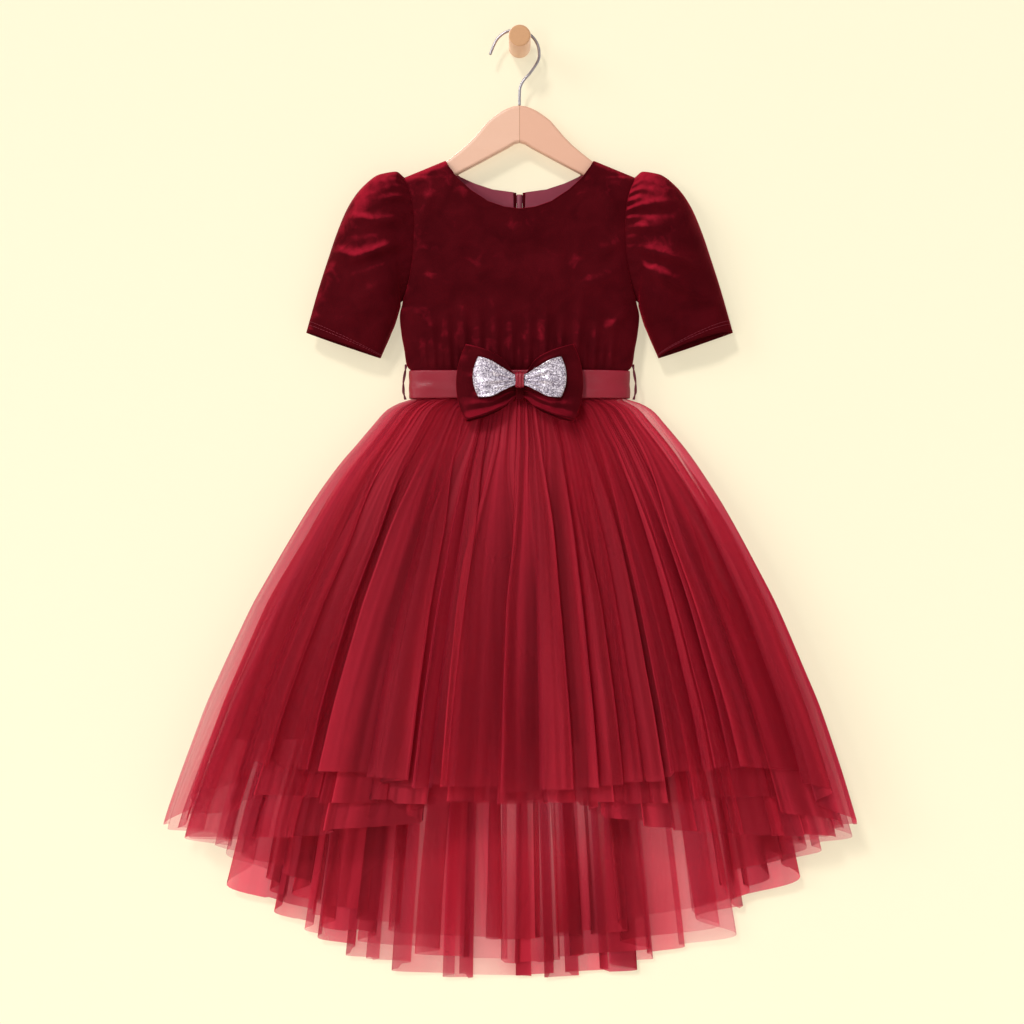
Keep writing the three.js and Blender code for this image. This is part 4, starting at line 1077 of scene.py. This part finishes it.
# Skirt: z, half width, depth, middle plane, sideways shift
skirtRows = [
    (-396.3, 122, 16.6, -22, 0), (-402.4, 122.2, 16.8, -22, 0), (-406, 134, 18.5, -22.3, 0),
    (-415, 151, 19.8, -23.2, 0), (-432, 166.5, 22, -25, 0), (-454, 185, 25.5, -28.3, 0),
    (-471, 198.8, 28, -30.6, -1), (-496, 216.7, 31, -33.5, -2), (-521, 233, 33, -35.5, -2.5),
    (-565, 258.6, 36, -38.5, -3.4), (-601, 278.6, 38, -40.5, -4.4), (-632, 295.3, 39.5, -42, -5.3),
    (-668, 312, 41, -43.5, -6), (-704, 328, 42.5, -45, -6.8), (-743, 345, 44, -46.5, -7.3),
    (-782, 359.3, 45.3, -47.8, -7.8), (-821, 373, 46.4, -48.9, -8.5), (-868, 388.3, 47.4, -49.9, -9.5),
    (-918, 401.8, 48, -50.5, -9.5), (-1007, 425, 48.5, -51, -9.5), (-1065, 438, 48.5, -51, -9.5),
]
skirtHalf = smoothTable(skirtRows, 1)
skirtDepth = smoothTable(skirtRows, 2)
skirtMiddle = smoothTable(skirtRows, 3)
skirtShift = smoothTable(skirtRows, 4)
sideSpreadRows = [(-402, 1.3), (-406, 3), (-418, 3.0), (-440, 2.6), (-520, 2.2), (-700, 1.7), (-880, 1.3)]
sideSpread = smoothTable(sideSpreadRows, 1)

# Hem heights by share of the half width: share, outer, middle, inner, lining
frontHemRows = [
    (0, -834, -851, -848, -790), (0.23, -831, -850, -851, -789), (0.35, -825, -849, -872, -788),
    (0.53, -815, -848, -884, -787), (0.74, -807, -845, -886, -784), (0.92, -845, -862, -888, -783),
    (1, -878, -882, -892, -783),
]
backHemRows = [
    (0, -1062, -1041, -1016, -790), (0.21, -1052, -1032, -1008, -789), (0.38, -1035, -1016, -994, -788),
    (0.55, -1003, -987, -969, -787), (0.72, -955, -942, -930, -785), (0.86, -905, -902, -900, -784),
    (1, -878, -882, -892, -783),
]
waistSeam = -396
flareStart = -402.4
waistHalf = skirtRows[0][1]
hemHalf = skirtRows[-1][1]
skirtShape = {
    "power": 2.4,  # how square the flattened round is
    "backFlatness": 0.4,  # depth of a back fold as a share of a front one
    "seamFade": 18,
    "openingLength": 150,
    "gatherLength": 55,
    "wander": 0.10,
    "gatherShift": 0.10,
    "turnWidth": 0.45,
    "frontSwing": 1.35,
    "hemCurve": 1.35,
    "hemStep": 3.5,
    "nearWall": -1.4,
}

# The layers from the outside in. Folds are counted across one panel; overlap is how far a fold
# lies over its neighbour, as a share of its width; unevenness is how much the widths differ.
skirtLayers = [
    {"name": "tulle_outer", "piece": "netOuter", "hem": 1, "waist": 0.9, "full": 6.5, "gap": 0, "wall": 1.3,
     "frontFolds": 22, "backFolds": 19, "overlap": 0.40, "unevenness": 0.75, "gather": 1.5, "seed": 5},
    {"name": "tulle_middle", "piece": "netMiddle", "hem": 2, "waist": 0.5, "full": 4, "gap": 0.8, "wall": 1.3,
     "frontFolds": 18, "backFolds": 17, "overlap": 0.38, "unevenness": 0.75, "gather": 0.9, "seed": 12},
    {"name": "tulle_inner", "piece": "netInner", "hem": 3, "waist": 0.4, "full": 3, "gap": 0.8, "wall": 1.3,
     "frontFolds": 16, "backFolds": 15, "overlap": 0.36, "unevenness": 0.75, "gather": 0.7, "seed": 23},
    {"name": "skirt_lining", "piece": "skirtLining", "hem": 4, "waist": 0.3, "full": 1.8, "gap": 4.5,
     "wall": 1.2, "frontFolds": 10, "backFolds": 10, "overlap": 0.0, "unevenness": 0.5, "gather": 0.4,
     "seed": 34},
]


def skirtGrowth(z):
    return (skirtHalf(z) - waistHalf) / (hemHalf - waistHalf)


def foldDepth(layer, z):
    return layer["waist"] + (layer["full"] - layer["waist"]) * skirtGrowth(z)


def layerInset(order, z, flatness):
    inset = np.zeros_like(z)
    for i, layer in enumerate(skirtLayers[: order + 1]):
        inset = inset + flatness * layer["gap"] * np.minimum(1, 0.3 + (waistSeam - z) / 60)
        if i < order:
            inset = inset + 2 * flatness * foldDepth(layer, z) + layer["wall"] + seamGap
    return inset


# A flattened round with unit half sizes, its points spread evenly round: 0 and 1 are the front
roundAngles = np.linspace(0, 2 * np.pi, 1441)
roundX = np.sign(np.sin(roundAngles)) * np.abs(np.sin(roundAngles)) ** (2 / skirtShape["power"])
roundY = -np.sign(np.cos(roundAngles)) * np.abs(np.cos(roundAngles)) ** (2 / skirtShape["power"])
roundSteps = np.hypot(np.diff(roundX), np.diff(roundY) * 0.13)
roundShare = np.concatenate([[0], np.cumsum(roundSteps)])
roundShare = roundShare / roundShare[-1]


def unevenWidths(count, unevenness, shaker):
    widths = [math.exp(unevenness * (2 * shaker.random() - 1)) for k in range(count)]
    total = sum(widths)
    return [w / total for w in widths]


def skirtPanel(layer, order, facing, rows, pointsPerFold):
    shaker = random.Random(layer["seed"] + (0 if facing < 0 else 100))
    count = layer["frontFolds"] if facing < 0 else layer["backFolds"]
    widths = unevenWidths(count, layer["unevenness"], shaker)
    part = []
    local = []
    fold = []
    start = 0
    for k, width in enumerate(widths):
        for i in range(pointsPerFold):
            part.append(start + width * i / pointsPerFold)
            local.append(i / pointsPerFold)
            fold.append(k)
        start += width
    part.append(1.0)
    local.append(1.0)
    fold.append(count - 1)
    part = np.array(part)[None, :]
    local = np.array(local)[None, :]
    fold = np.array(fold)
    leans = []
    for k in range(count):
        direction = 1 if shaker.random() < 0.5 else -1
        leans.append(direction * (0.7 + 0.6 * shaker.random()))
    heights = [0.6 + 0.4 * shaker.random() for k in range(count)]
    starts = [-404 - 90 * shaker.random() ** 2 for k in range(count)]
    gatherCounts = [shaker.choice((2, 3, 3, 4)) for k in range(count)]
    hemSteps = [skirtShape["hemStep"] * (2 * shaker.random() - 1) for k in range(count)]
    drifts = [shaker.random() * 6 for k in range(count)]
    perFold = (widths, leans, heights, starts, gatherCounts, hemSteps, drifts)
    width, lean, height, startZ, gathers, hemStep, drift = [np.array(v)[fold][None, :] for v in perFold]

    hemRows = frontHemRows if facing < 0 else backHemRows
    hemAt = smoothTable(hemRows, layer["hem"])
    firstSeam = 0.75 if facing < 0 else 0.25
    flatUnit = np.interp((firstSeam + part / 2) % 1, roundShare, roundX)
    seamFade = ease(part * skirtShape["seamFade"]) * ease((1 - part) * skirtShape["seamFade"])
    hem = hemAt(np.abs(flatUnit)) + hemStep * seamFade * (0.5 if layer["hem"] == 4 else 1)
    down = np.linspace(0, 1, rows - 1)[:, None] ** skirtShape["hemCurve"]
    z = flareStart + down * (hem - flareStart)
    z = np.concatenate([np.full((1, z.shape[1]), waistSeam - seamGap), z])

    wide = 2 * np.pi * local
    opened = ease((startZ - z) / skirtShape["openingLength"])
    middleWander = skirtShape["wander"] * np.sin(z / 120 + drift) * width
    overlap = layer["overlap"] * lean * opened * seamFade
    gathered = np.exp(-(flareStart - z) / skirtShape["gatherLength"]) * seamFade
    shifted = part + width * overlap * np.sin(wide) + middleWander * np.sin(wide / 2) ** 2 * seamFade
    gatherWave = np.sin(wide * gathers + drift) * gathered
    shifted = shifted + width * skirtShape["gatherShift"] / gathers * gatherWave
    shifted = np.clip(shifted, 0, 1)
    slope = 1 + 2 * np.pi * overlap * np.cos(wide)
    turn = np.exp(-((slope / skirtShape["turnWidth"]) ** 2)) * opened

    along = (firstSeam + shifted / 2) % 1
    unitX = np.interp(along, roundShare, roundX)
    unitY = np.interp(along, roundShare, roundY)
    flatness = skirtShape["backFlatness"] if facing > 0 else 1.0
    foldSize = foldDepth(layer, z)
    half = skirtHalf(z) - layerInset(order, z, 1.0) * sideSpread(z) - foldSize
    depth = skirtDepth(z) - layerInset(order, z, flatness) - foldSize * flatness
    slopeX = np.sign(unitX) * np.abs(unitX) ** (skirtShape["power"] - 1) / half
    slopeY = np.sign(unitY) * np.abs(unitY) ** (skirtShape["power"] - 1) / depth
    length = np.hypot(slopeX, slopeY)
    sideFade = 1 - np.clip(np.abs(unitX) - 0.9, 0, 1) * 4
    ripple = layer["gather"] * gatherWave * ease((-z - 397) / 12)
    swing = skirtShape["frontSwing"] if facing < 0 and order == 0 else 1.0
    out = foldSize * swing * np.sin(wide) * height * sideFade * (0.35 + 0.65 * opened)
    out = out + ripple * (0.4 + 0.6 * flatness)
    x = skirtShift(z) + unitX * half + out * slopeX / length
    y = skirtMiddle(z) + unitY * depth + out * flatness * slopeY / length
    if facing > 0:
        y = np.minimum(y, skirtShape["nearWall"])
    # the marks: where a fold turns (denser net and a painted highlight), painted shade darkest low in each
    # fold, and how far round the waist
    marks = {
        "foldTurn": turn,
        "paintedFoldShade": (0.5 - 0.5 * np.sin(wide)) ** 1.5 * opened * height * seamFade,
        "waistPlace": np.broadcast_to((part + (0 if facing < 0 else 1)) * 0.5, z.shape),
    }
    return np.stack([x, y, z], -1), marks


def joinRound(front, back):
    return np.concatenate([front, back[:, 1:-1]], axis=1)


for order, layer in enumerate(skirtLayers):
    isNet = layer["hem"] != 4
    rows = 64 if isNet else 40
    pointsPerFold = 22 if isNet else 16
    front, frontMarks = skirtPanel(layer, order, -1, rows, pointsPerFold)
    back, backMarks = skirtPanel(layer, order, 1, rows, pointsPerFold)
    for panel in (front, back):
        panel[:, 0, 1] = skirtMiddle(panel[:, 0, 2])
        panel[:, -1, 1] = skirtMiddle(panel[:, -1, 2])
    grid = joinRound(front, back)
    mesh = gridMesh(layer["piece"], grid, closed=True, inside=(0, -45, -750))
    material = net if isNet else skirtSatin
    slotName = "tulle" if isNet else "skirt_satin"
    nodes = [layer["name"] + "_front", layer["name"] + "_back"]
    piece = addPiece(layer["piece"], mesh, material, nodes, wall=0 if isNet else 0.8)
    for label in frontMarks:
        values = joinRound(frontMarks[label], backMarks[label])
        attribute = mesh.attributes.new(label, "FLOAT", "POINT")
        attribute.data.foreach_set("value", values.reshape(-1).astype(float).tolist())
    layer["object"] = piece
print("skirt made")


# Bow: along the front from the middle out, round the end and back behind: along, front
bowPathRows = [
    (0.06, 0.58), (0.22, 0.74), (0.45, 0.92), (0.7, 1.0), (0.9, 0.86), (1.0, 0.5), (0.9, 0.16), (0.7, 0.0),
    (0.4, 0.0), (0.2, 0.1), (0.06, 0.28),
]
velvetBow = {
    "reach": 60, "swell": 11, "puff": 15, "back": -41.2, "wall": 1.1, "lip": 5.0, "rim": 1.2, "lean": 0.28,
    # along, top, bottom
    "edges": [
        (0, -379, -400), (0.1, -376.5, -402.5), (0.3, -360, -414), (0.62, -349.5, -423.5),
        (1, -342.6, -430.5),
    ],
    # creases that spread from the middle: along, share of the height at each end, height, width
    "creases": [
        (0.05, 0.28, 0.70, 0.16, 3.0, 0.050), (0.05, 0.45, 0.86, 0.42, 2.8, 0.060),
        (0.05, 0.60, 0.78, 0.70, 3.2, 0.050), (0.05, 0.74, 0.62, 0.88, 2.4, 0.045),
        (0.05, 0.37, 0.58, 0.30, -2.6, 0.045), (0.05, 0.52, 0.68, 0.57, -2.8, 0.045),
        (0.30, 0.80, 0.92, 0.80, 2.0, 0.050), (0.25, 0.12, 0.90, 0.08, 1.6, 0.050),
    ],
}
glitterBow = {
    "reach": 46, "swell": 6, "puff": 8, "back": -56.7, "wall": 0.9, "lip": 0, "rim": 1.2, "lean": 0.28,
    "edges": [
        (0, -379, -388), (0.12, -378, -389), (0.4, -370.5, -395), (0.75, -361, -402), (1, -357.5, -402.6),
    ],
    "creases": [
        (0.05, 0.32, 0.66, 0.24, 1.6, 0.07), (0.05, 0.55, 0.80, 0.58, 1.6, 0.08),
        (0.05, 0.74, 0.60, 0.84, 1.4, 0.06),
        (0.05, 0.44, 0.60, 0.40, -1.6, 0.05), (0.05, 0.64, 0.55, 0.70, -1.4, 0.05),
    ],
}


def bowWing(bow, sign, steps=84, columns=54):
    keyed = [(i, *row) for i, row in enumerate(bowPathRows)]
    step = np.linspace(0, len(bowPathRows) - 1, steps)[:, None]
    along = smoothTable(keyed, 1)(step)
    front = smoothTable(keyed, 2)(step)
    share = np.linspace(0, 1, columns)[None, :]
    arch = 1 - (2 * share - 1) ** 2
    top = smoothTable(bow["edges"], 1)(along)
    bottom = smoothTable(bow["edges"], 2)(along)
    z = top + share * (bottom - top)
    isFront = ease(1 - (step - 4.2) / 1.6)
    crease = creaseHeight(along, share, bow["creases"]) * isFront
    lean = bow["lean"] * np.clip(sash["bottom"] - z, 0, 100)
    x = along * (bow["reach"] + bow["swell"] * arch)
    y = bow["back"] - bow["puff"] * front - crease - lean
    rollOut = bow["lip"] * ease((share - 0.86) / 0.14) * isFront * ease((along - 0.15) / 0.3)
    rim = bow["rim"] * np.exp(-((share / 0.04) ** 2)) + bow["rim"] * np.exp(-(((1 - share) / 0.04) ** 2))
    y = y - rollOut - rim * isFront
    z = z + rollOut * 0.5
    return np.stack([sign * x, y, z], -1)


for side, sign in (("left", -1), ("right", 1)):
    for bow, label, material, slotName, cut in (
        (velvetBow, "Velvet", bowVelvet, "bow_velvet", (0.138, 0.080)),
        (glitterBow, "Glitter", glitter, "glitter", (0.104, 0.042)),
    ):
        grid = bowWing(bow, sign)
        name = "bow" + label + side.capitalize()
        centre = (sign * bow["reach"] * 0.5, bow["back"] - bow["puff"] * 0.5, -386)
        mesh = gridMesh(name, grid, inside=centre)
        node = "bow_" + label.lower() + "_" + side
        piece = addPiece(name, mesh, material, [node], wall=bow["wall"])


# Bands round the bow's middle: half sizes, width, centre
velvetBand = {"halfY": 5.7, "halfZ": 16, "width": 9, "y": -47.3, "z": -389.5, "wall": 1.1, "fold": 0.5}
satinKnot = {"halfY": 5.9, "halfZ": 8.6, "width": 10, "y": -59.3, "z": -383.5, "wall": 0.9, "fold": 0.55}


def middleBand(band, around=72, across=26):
    angle = np.linspace(0, 2 * np.pi, around, endpoint=False)[None, :]
    share = np.linspace(-1, 1, across)[:, None]
    cosine = np.sign(np.cos(angle)) * np.abs(np.cos(angle)) ** 0.5
    sine = np.sign(np.sin(angle)) * np.abs(np.sin(angle)) ** 0.5
    edge = 0.9 * np.abs(share) ** 4
    fold = band["fold"] * np.sin(share * 8 + 0.7 * np.sin(angle * 2))
    waist = 1 - 0.10 * np.exp(-((sine / 0.5) ** 2)) * (cosine < 0)
    x = share * band["width"] / 2 * waist
    y = band["y"] + cosine * (band["halfY"] - edge + fold)
    z = band["z"] + sine * (band["halfZ"] - edge + fold * 0.4)
    return np.stack([x, y, z], -1)


for name, band, material, slotName, node, cut in (
    ("bowVelvetBand", velvetBand, bowVelvet, "bow_velvet", "bow_velvet_band", (0.080, 0.0105)),
    ("bowKnot", satinKnot, beltSatin, "satin", "bow_knot", (0.052, 0.0105)),
):
    mesh = gridMesh(name, middleBand(band), closed=True, inside=(0, band["y"], band["z"]))
    piece = addPiece(name, mesh, material, [node], wall=band["wall"])
print("sash and bow made")


# Thread loops at the side seams: x, z of the path; two strands lie beside each other and twist
beltLoop = {
    "path": [(128.1, -364), (129.2, -372), (131.2, -384), (131, -395), (129, -402.5)],
    "middle": -22,
    "steps": 16,
    "strand": 0.85,
    "apart": 0.7,
    "twist": 9,
}
for side, sign in (("left", -1), ("right", 1)):
    name = "beltLoop" + side.capitalize()
    stations = np.linspace(0, 1, len(beltLoop["path"]))
    vertices = []
    faces = []
    for strand in (0, 1):
        points = []
        for i in range(beltLoop["steps"] + 1):
            t = i / beltLoop["steps"]
            x = float(np.interp(t, stations, [p[0] for p in beltLoop["path"]]))
            z = float(np.interp(t, stations, [p[1] for p in beltLoop["path"]]))
            turned = math.pi * strand + t * beltLoop["twist"]
            x = sign * (x + beltLoop["apart"] * math.cos(turned))
            y = beltLoop["middle"] + beltLoop["apart"] * math.sin(turned)
            points.append((x, y, z))
        tube = tubeMesh(name + "Strand", points, beltLoop["strand"], sides=8, steps=2)
        first = len(vertices)
        vertices += [tuple(v.co) for v in tube.vertices]
        faces += [tuple(first + i for i in f.vertices) for f in tube.polygons]
        bpy.data.meshes.remove(tube)
    addPiece(name, newMesh(name, vertices, faces), loopThread, ["belt_loop_" + side])


# Zip: a woven strip with interlocking coil teeth down the centre back
zipFastener = {
    "half": 3, "top": -169, "bottom": -396, "steps": 120,
    # teeth: distance from one to the next, size, how far each reaches across, how far it stands out
    "pitch": 1.25, "tooth": 0.55, "reach": 1.9, "rise": 0.25, "sides": 8,
}


def zipMesh():
    bm = bmesh.new()
    count = zipFastener["steps"]
    half = zipFastener["half"]
    section = ((-half, 0.5), (-1.2, 0.5), (1.2, 0.5), (half, 0.5), (half, 1.3), (-half, 1.3))
    strip = []
    for i in range(count + 1):
        z = zipFastener["top"] + (zipFastener["bottom"] - zipFastener["top"]) * i / count
        y = float(bodiceMiddle(z) + bodiceDepth(z))
        row = []
        for x, back in section:
            row.append(bm.verts.new((x * mm, (y - back) * mm, z * mm)))
        strip.append(row)
    for upper, lower in zip(strip, strip[1:]):
        for k in range(len(section)):
            following = (k + 1) % len(section)
            bm.faces.new((upper[k], upper[following], lower[following], lower[k]))
    bm.faces.new(strip[0][::-1])
    bm.faces.new(strip[-1])
    z = zipFastener["top"] - 1
    sides = zipFastener["sides"]
    toothIndex = 0
    while z > zipFastener["bottom"] + 1:
        y = float(bodiceMiddle(z) + bodiceDepth(z)) - zipFastener["rise"]
        sign = 1 if toothIndex % 2 else -1
        rings = []
        for k in range(4):
            x = sign * (-0.5 + zipFastener["reach"] * k / 3)
            size = zipFastener["tooth"] * (1.0 if k in (1, 2) else 0.62)
            ring = []
            for turn in range(sides):
                angle = 2 * math.pi * turn / sides
                place = (x * mm, (y + math.cos(angle) * size * 0.8) * mm, (z + math.sin(angle) * size) * mm)
                ring.append(bm.verts.new(place))
            rings.append(ring)
        for a, b in zip(rings, rings[1:]):
            for turn in range(sides):
                following = (turn + 1) % sides
                bm.faces.new((a[turn], a[following], b[following], b[turn]))
        bm.faces.new(rings[0])
        bm.faces.new(rings[-1][::-1])
        z -= zipFastener["pitch"]
        toothIndex += 1
    mesh = finishMesh("zipCoil", bm)
    mesh.polygons.foreach_set("use_smooth", [True] * len(mesh.polygons))
    return mesh


addPiece("zipCoil", zipMesh(), zipNylon, ["zip_coil"])
for node in ("zip_slider", "zip_pull"):
    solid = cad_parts[node]
    for materialSlot in solid.material_slots:
        materialSlot.material = zipEnamel
print("zip made")


# Hanger: the upper edge of one arm from the middle out, its end and its underside: x, z
hangerRows = [
    (0, -70.9), (7, -71.6), (13.5, -73.9), (19, -76.6), (24.4, -80), (30, -84), (35.4, -88.3), (42.3, -96.5),
    (50.6, -106.2), (60.1, -115.8), (69.7, -123.9), (79.3, -131.5), (86, -136.5), (93, -140), (100, -142.6),
    (107, -145.2), (113, -148.2), (116.2, -150.4), (117.5, -153), (117.6, -158.5), (117, -164),
    (115.2, -167.2),
    (112, -168.5), (92, -159.4), (72.4, -150), (43, -134.6), (14, -119), (6, -114),
]
hangerWidth = {"thickness": 12, "middle": -18, "rounding": 3.4, "apex": -112.3}
bm = bmesh.new()
outline = hangerRows + [(0, hangerWidth["apex"])] + [(-x, z) for x, z in reversed(hangerRows[1:])]
frontY = hangerWidth["middle"] - hangerWidth["thickness"] / 2
backY = hangerWidth["middle"] + hangerWidth["thickness"] / 2
frontRing = [bm.verts.new((x * mm, frontY * mm, z * mm)) for x, z in outline]
backRing = [bm.verts.new((x * mm, backY * mm, z * mm)) for x, z in outline]
bm.faces.new(frontRing)
bm.faces.new(backRing[::-1])
for i in range(len(outline)):
    following = (i + 1) % len(outline)
    bm.faces.new((frontRing[following], frontRing[i], backRing[i], backRing[following]))
hangerMesh = finishMesh("hangerWood", bm)
hangerMesh.polygons.foreach_set("use_smooth", [True] * len(hangerMesh.polygons))
piece = addPiece("hangerWood", hangerMesh, hangerWood, ["hanger_wood"])
bevel = piece.modifiers.new("rounded edges", "BEVEL")
bevel.width = hangerWidth["rounding"] * mm
bevel.segments = 4
bevel.limit_method = "ANGLE"
bevel.angle_limit = math.radians(50)
bevel.harden_normals = True

# Hook: the crook over the peg, then the stem down to the hanger
hook = {"x": -4.2, "z": -11.2, "radius": 26.5, "wire": 1.65, "y": -18}
hookPoints = [(hook["x"] - hook["radius"] - 2.2, hook["y"], hook["z"] - 0.5)]
for degrees in range(160, -21, -20):
    angle = math.radians(degrees)
    x = hook["x"] + hook["radius"] * math.cos(angle)
    z = hook["z"] + hook["radius"] * math.sin(angle)
    hookPoints.append((x, hook["y"], z))
for x, z in ((12.2, -33.2), (4.6, -42), (0.8, -50), (0, -60), (0, -69.2)):
    hookPoints.append((x, hook["y"], z))
hookMesh = tubeMesh("hangerHook", hookPoints, hook["wire"], sides=18)
addPiece("hangerHook", hookMesh, steelWire, ["hanger_hook"])

# Peg: a turned dowel with a softened front edge; profile: radius, distance from the wall
peg = {
    "profile": [(12.0, 0.2), (12.5, 0.8), (12.5, 30), (12.5, 52.4), (12.3, 53.6), (11.7, 54.5), (10.6, 55)],
    "sides": 72,
}
bm = bmesh.new()
rings = []
for radius, out in peg["profile"]:
    ring = []
    for k in range(peg["sides"]):
        angle = 2 * math.pi * k / peg["sides"]
        ring.append(bm.verts.new((radius * math.cos(angle) * mm, -out * mm, radius * math.sin(angle) * mm)))
    rings.append(ring)
for a, b in zip(rings, rings[1:]):
    for k in range(peg["sides"]):
        following = (k + 1) % peg["sides"]
        bm.faces.new((a[k], a[following], b[following], b[k]))
bm.faces.new(rings[0][::-1])
bm.faces.new(rings[-1])
pegMesh = finishMesh("wallPeg", bm)
for face in pegMesh.polygons:
    face.use_smooth = len(face.vertices) == 4
addPiece("wallPeg", pegMesh, pegWood, ["wall_peg"])
print("hanger and peg made")


# Stage: a cream wall behind the peg, which only its front shows, and a pale floor
stageLook = {
    "wall": (0.452, 0.405, 0.300, 1),
    "wallGlow": (0.500, 0.462, 0.345, 1),
    "floor": (0.80, 0.77, 0.70, 1),
    "floorHeight": -1.34,
}


def stagePlane(name, corners, colour, seeThroughBack, glow=(0, 0, 0, 1)):
    mesh = bpy.data.meshes.new(name)
    mesh.from_pydata(corners, [], [(0, 1, 2, 3)])
    plane = bpy.data.objects.new(name, mesh)
    bpy.context.scene.collection.objects.link(plane)
    material, tree, shader = newMaterial(name)
    mottle = placeGroup(tree, mottleGroup, {"Low": colour, "High": colour, "Bias": 0.5, "Contrast": 0.5})
    tree.links.new(mottle.outputs["Color"], shader.inputs["Base Color"])
    setInputs(shader, {
        "Roughness": 0.9,
        "Specular IOR Level": 0.1,
        "Emission Color": glow,
        "Emission Strength": 1,
    })
    if seeThroughBack:
        geometry = addNode(tree, "ShaderNodeNewGeometry", (-300, 400))
        clear = addNode(tree, "ShaderNodeBsdfTransparent", (0, 300))
        mix = addNode(tree, "ShaderNodeMixShader", (300, 300))
        tree.links.new(geometry.outputs["Backfacing"], mix.inputs["Fac"])
        tree.links.new(shader.outputs[0], mix.inputs[1])
        tree.links.new(clear.outputs[0], mix.inputs[2])
        tree.links.new(mix.outputs[0], tree.nodes["Material Output"].inputs["Surface"])
    mesh.materials.append(material)
    return plane


wallPlane = stagePlane(
    "creamWall",
    [(-3, 0.0006, -2), (3, 0.0006, -2), (3, 0.0006, 2), (-3, 0.0006, 2)],
    stageLook["wall"],
    True,
    stageLook["wallGlow"],
)
wallPlane.visible_shadow = False
floorZ = stageLook["floorHeight"]
floorCorners = [(-4, -4, floorZ), (4, -4, floorZ), (4, 4, floorZ), (-4, 4, floorZ)]
stagePlane("paleFloor", floorCorners, stageLook["floor"], False)


# Lights: two soft suns from the upper left, a small light for the belt's shine, a fill from the
# right, and two lamps behind the wall for the views of the back
def softLight(name, place, target, size, power):
    data = bpy.data.lights.new(name, "AREA")
    data.shape = "SQUARE"
    data.size = size
    data.energy = power
    light = bpy.data.objects.new(name, data)
    light.location = place
    light.rotation_euler = (Vector(target) - Vector(place)).to_track_quat("-Z", "Y").to_euler()
    bpy.context.scene.collection.objects.link(light)


def sunLight(name, place, strength, angle, colour):
    data = bpy.data.lights.new(name, "SUN")
    data.energy = strength
    data.angle = math.radians(angle)
    data.color = colour
    light = bpy.data.objects.new(name, data)
    light.location = place
    light.rotation_euler = (-Vector(place)).to_track_quat("-Z", "Y").to_euler()
    bpy.context.scene.collection.objects.link(light)


sunLight("keySun", (-1.0, -2.4, 1.9), 1.62, 9, (1.0, 0.985, 0.96))
sunLight("rakeSun", (-2.0, -1.3, 0.9), 1.05, 26, (1.0, 0.98, 0.95))
softLight("satinShine", (-0.9, -2.1, -0.35), (-0.1, 0, -0.39), 0.35, 6)
softLight("fillLight", (1.9, -2.6, 0.1), (0, 0, -0.5), 2.0, 7)
softLight("backLight", (-1.2, 2.2, 1.1), (0, 0, -0.5), 1.2, 54)
softLight("backFill", (1.8, 1.4, -0.1), (0, 0, -0.5), 1.2, 16)
world = bpy.data.worlds.new("softRoom")
world.use_nodes = True
setInputs(world.node_tree.nodes["Background"], {"Color": (1.0, 0.985, 0.955, 1), "Strength": 0.40})
bpy.context.scene.world = world
bpy.context.scene.view_settings.view_transform = "Standard"
print("stage and lights made")
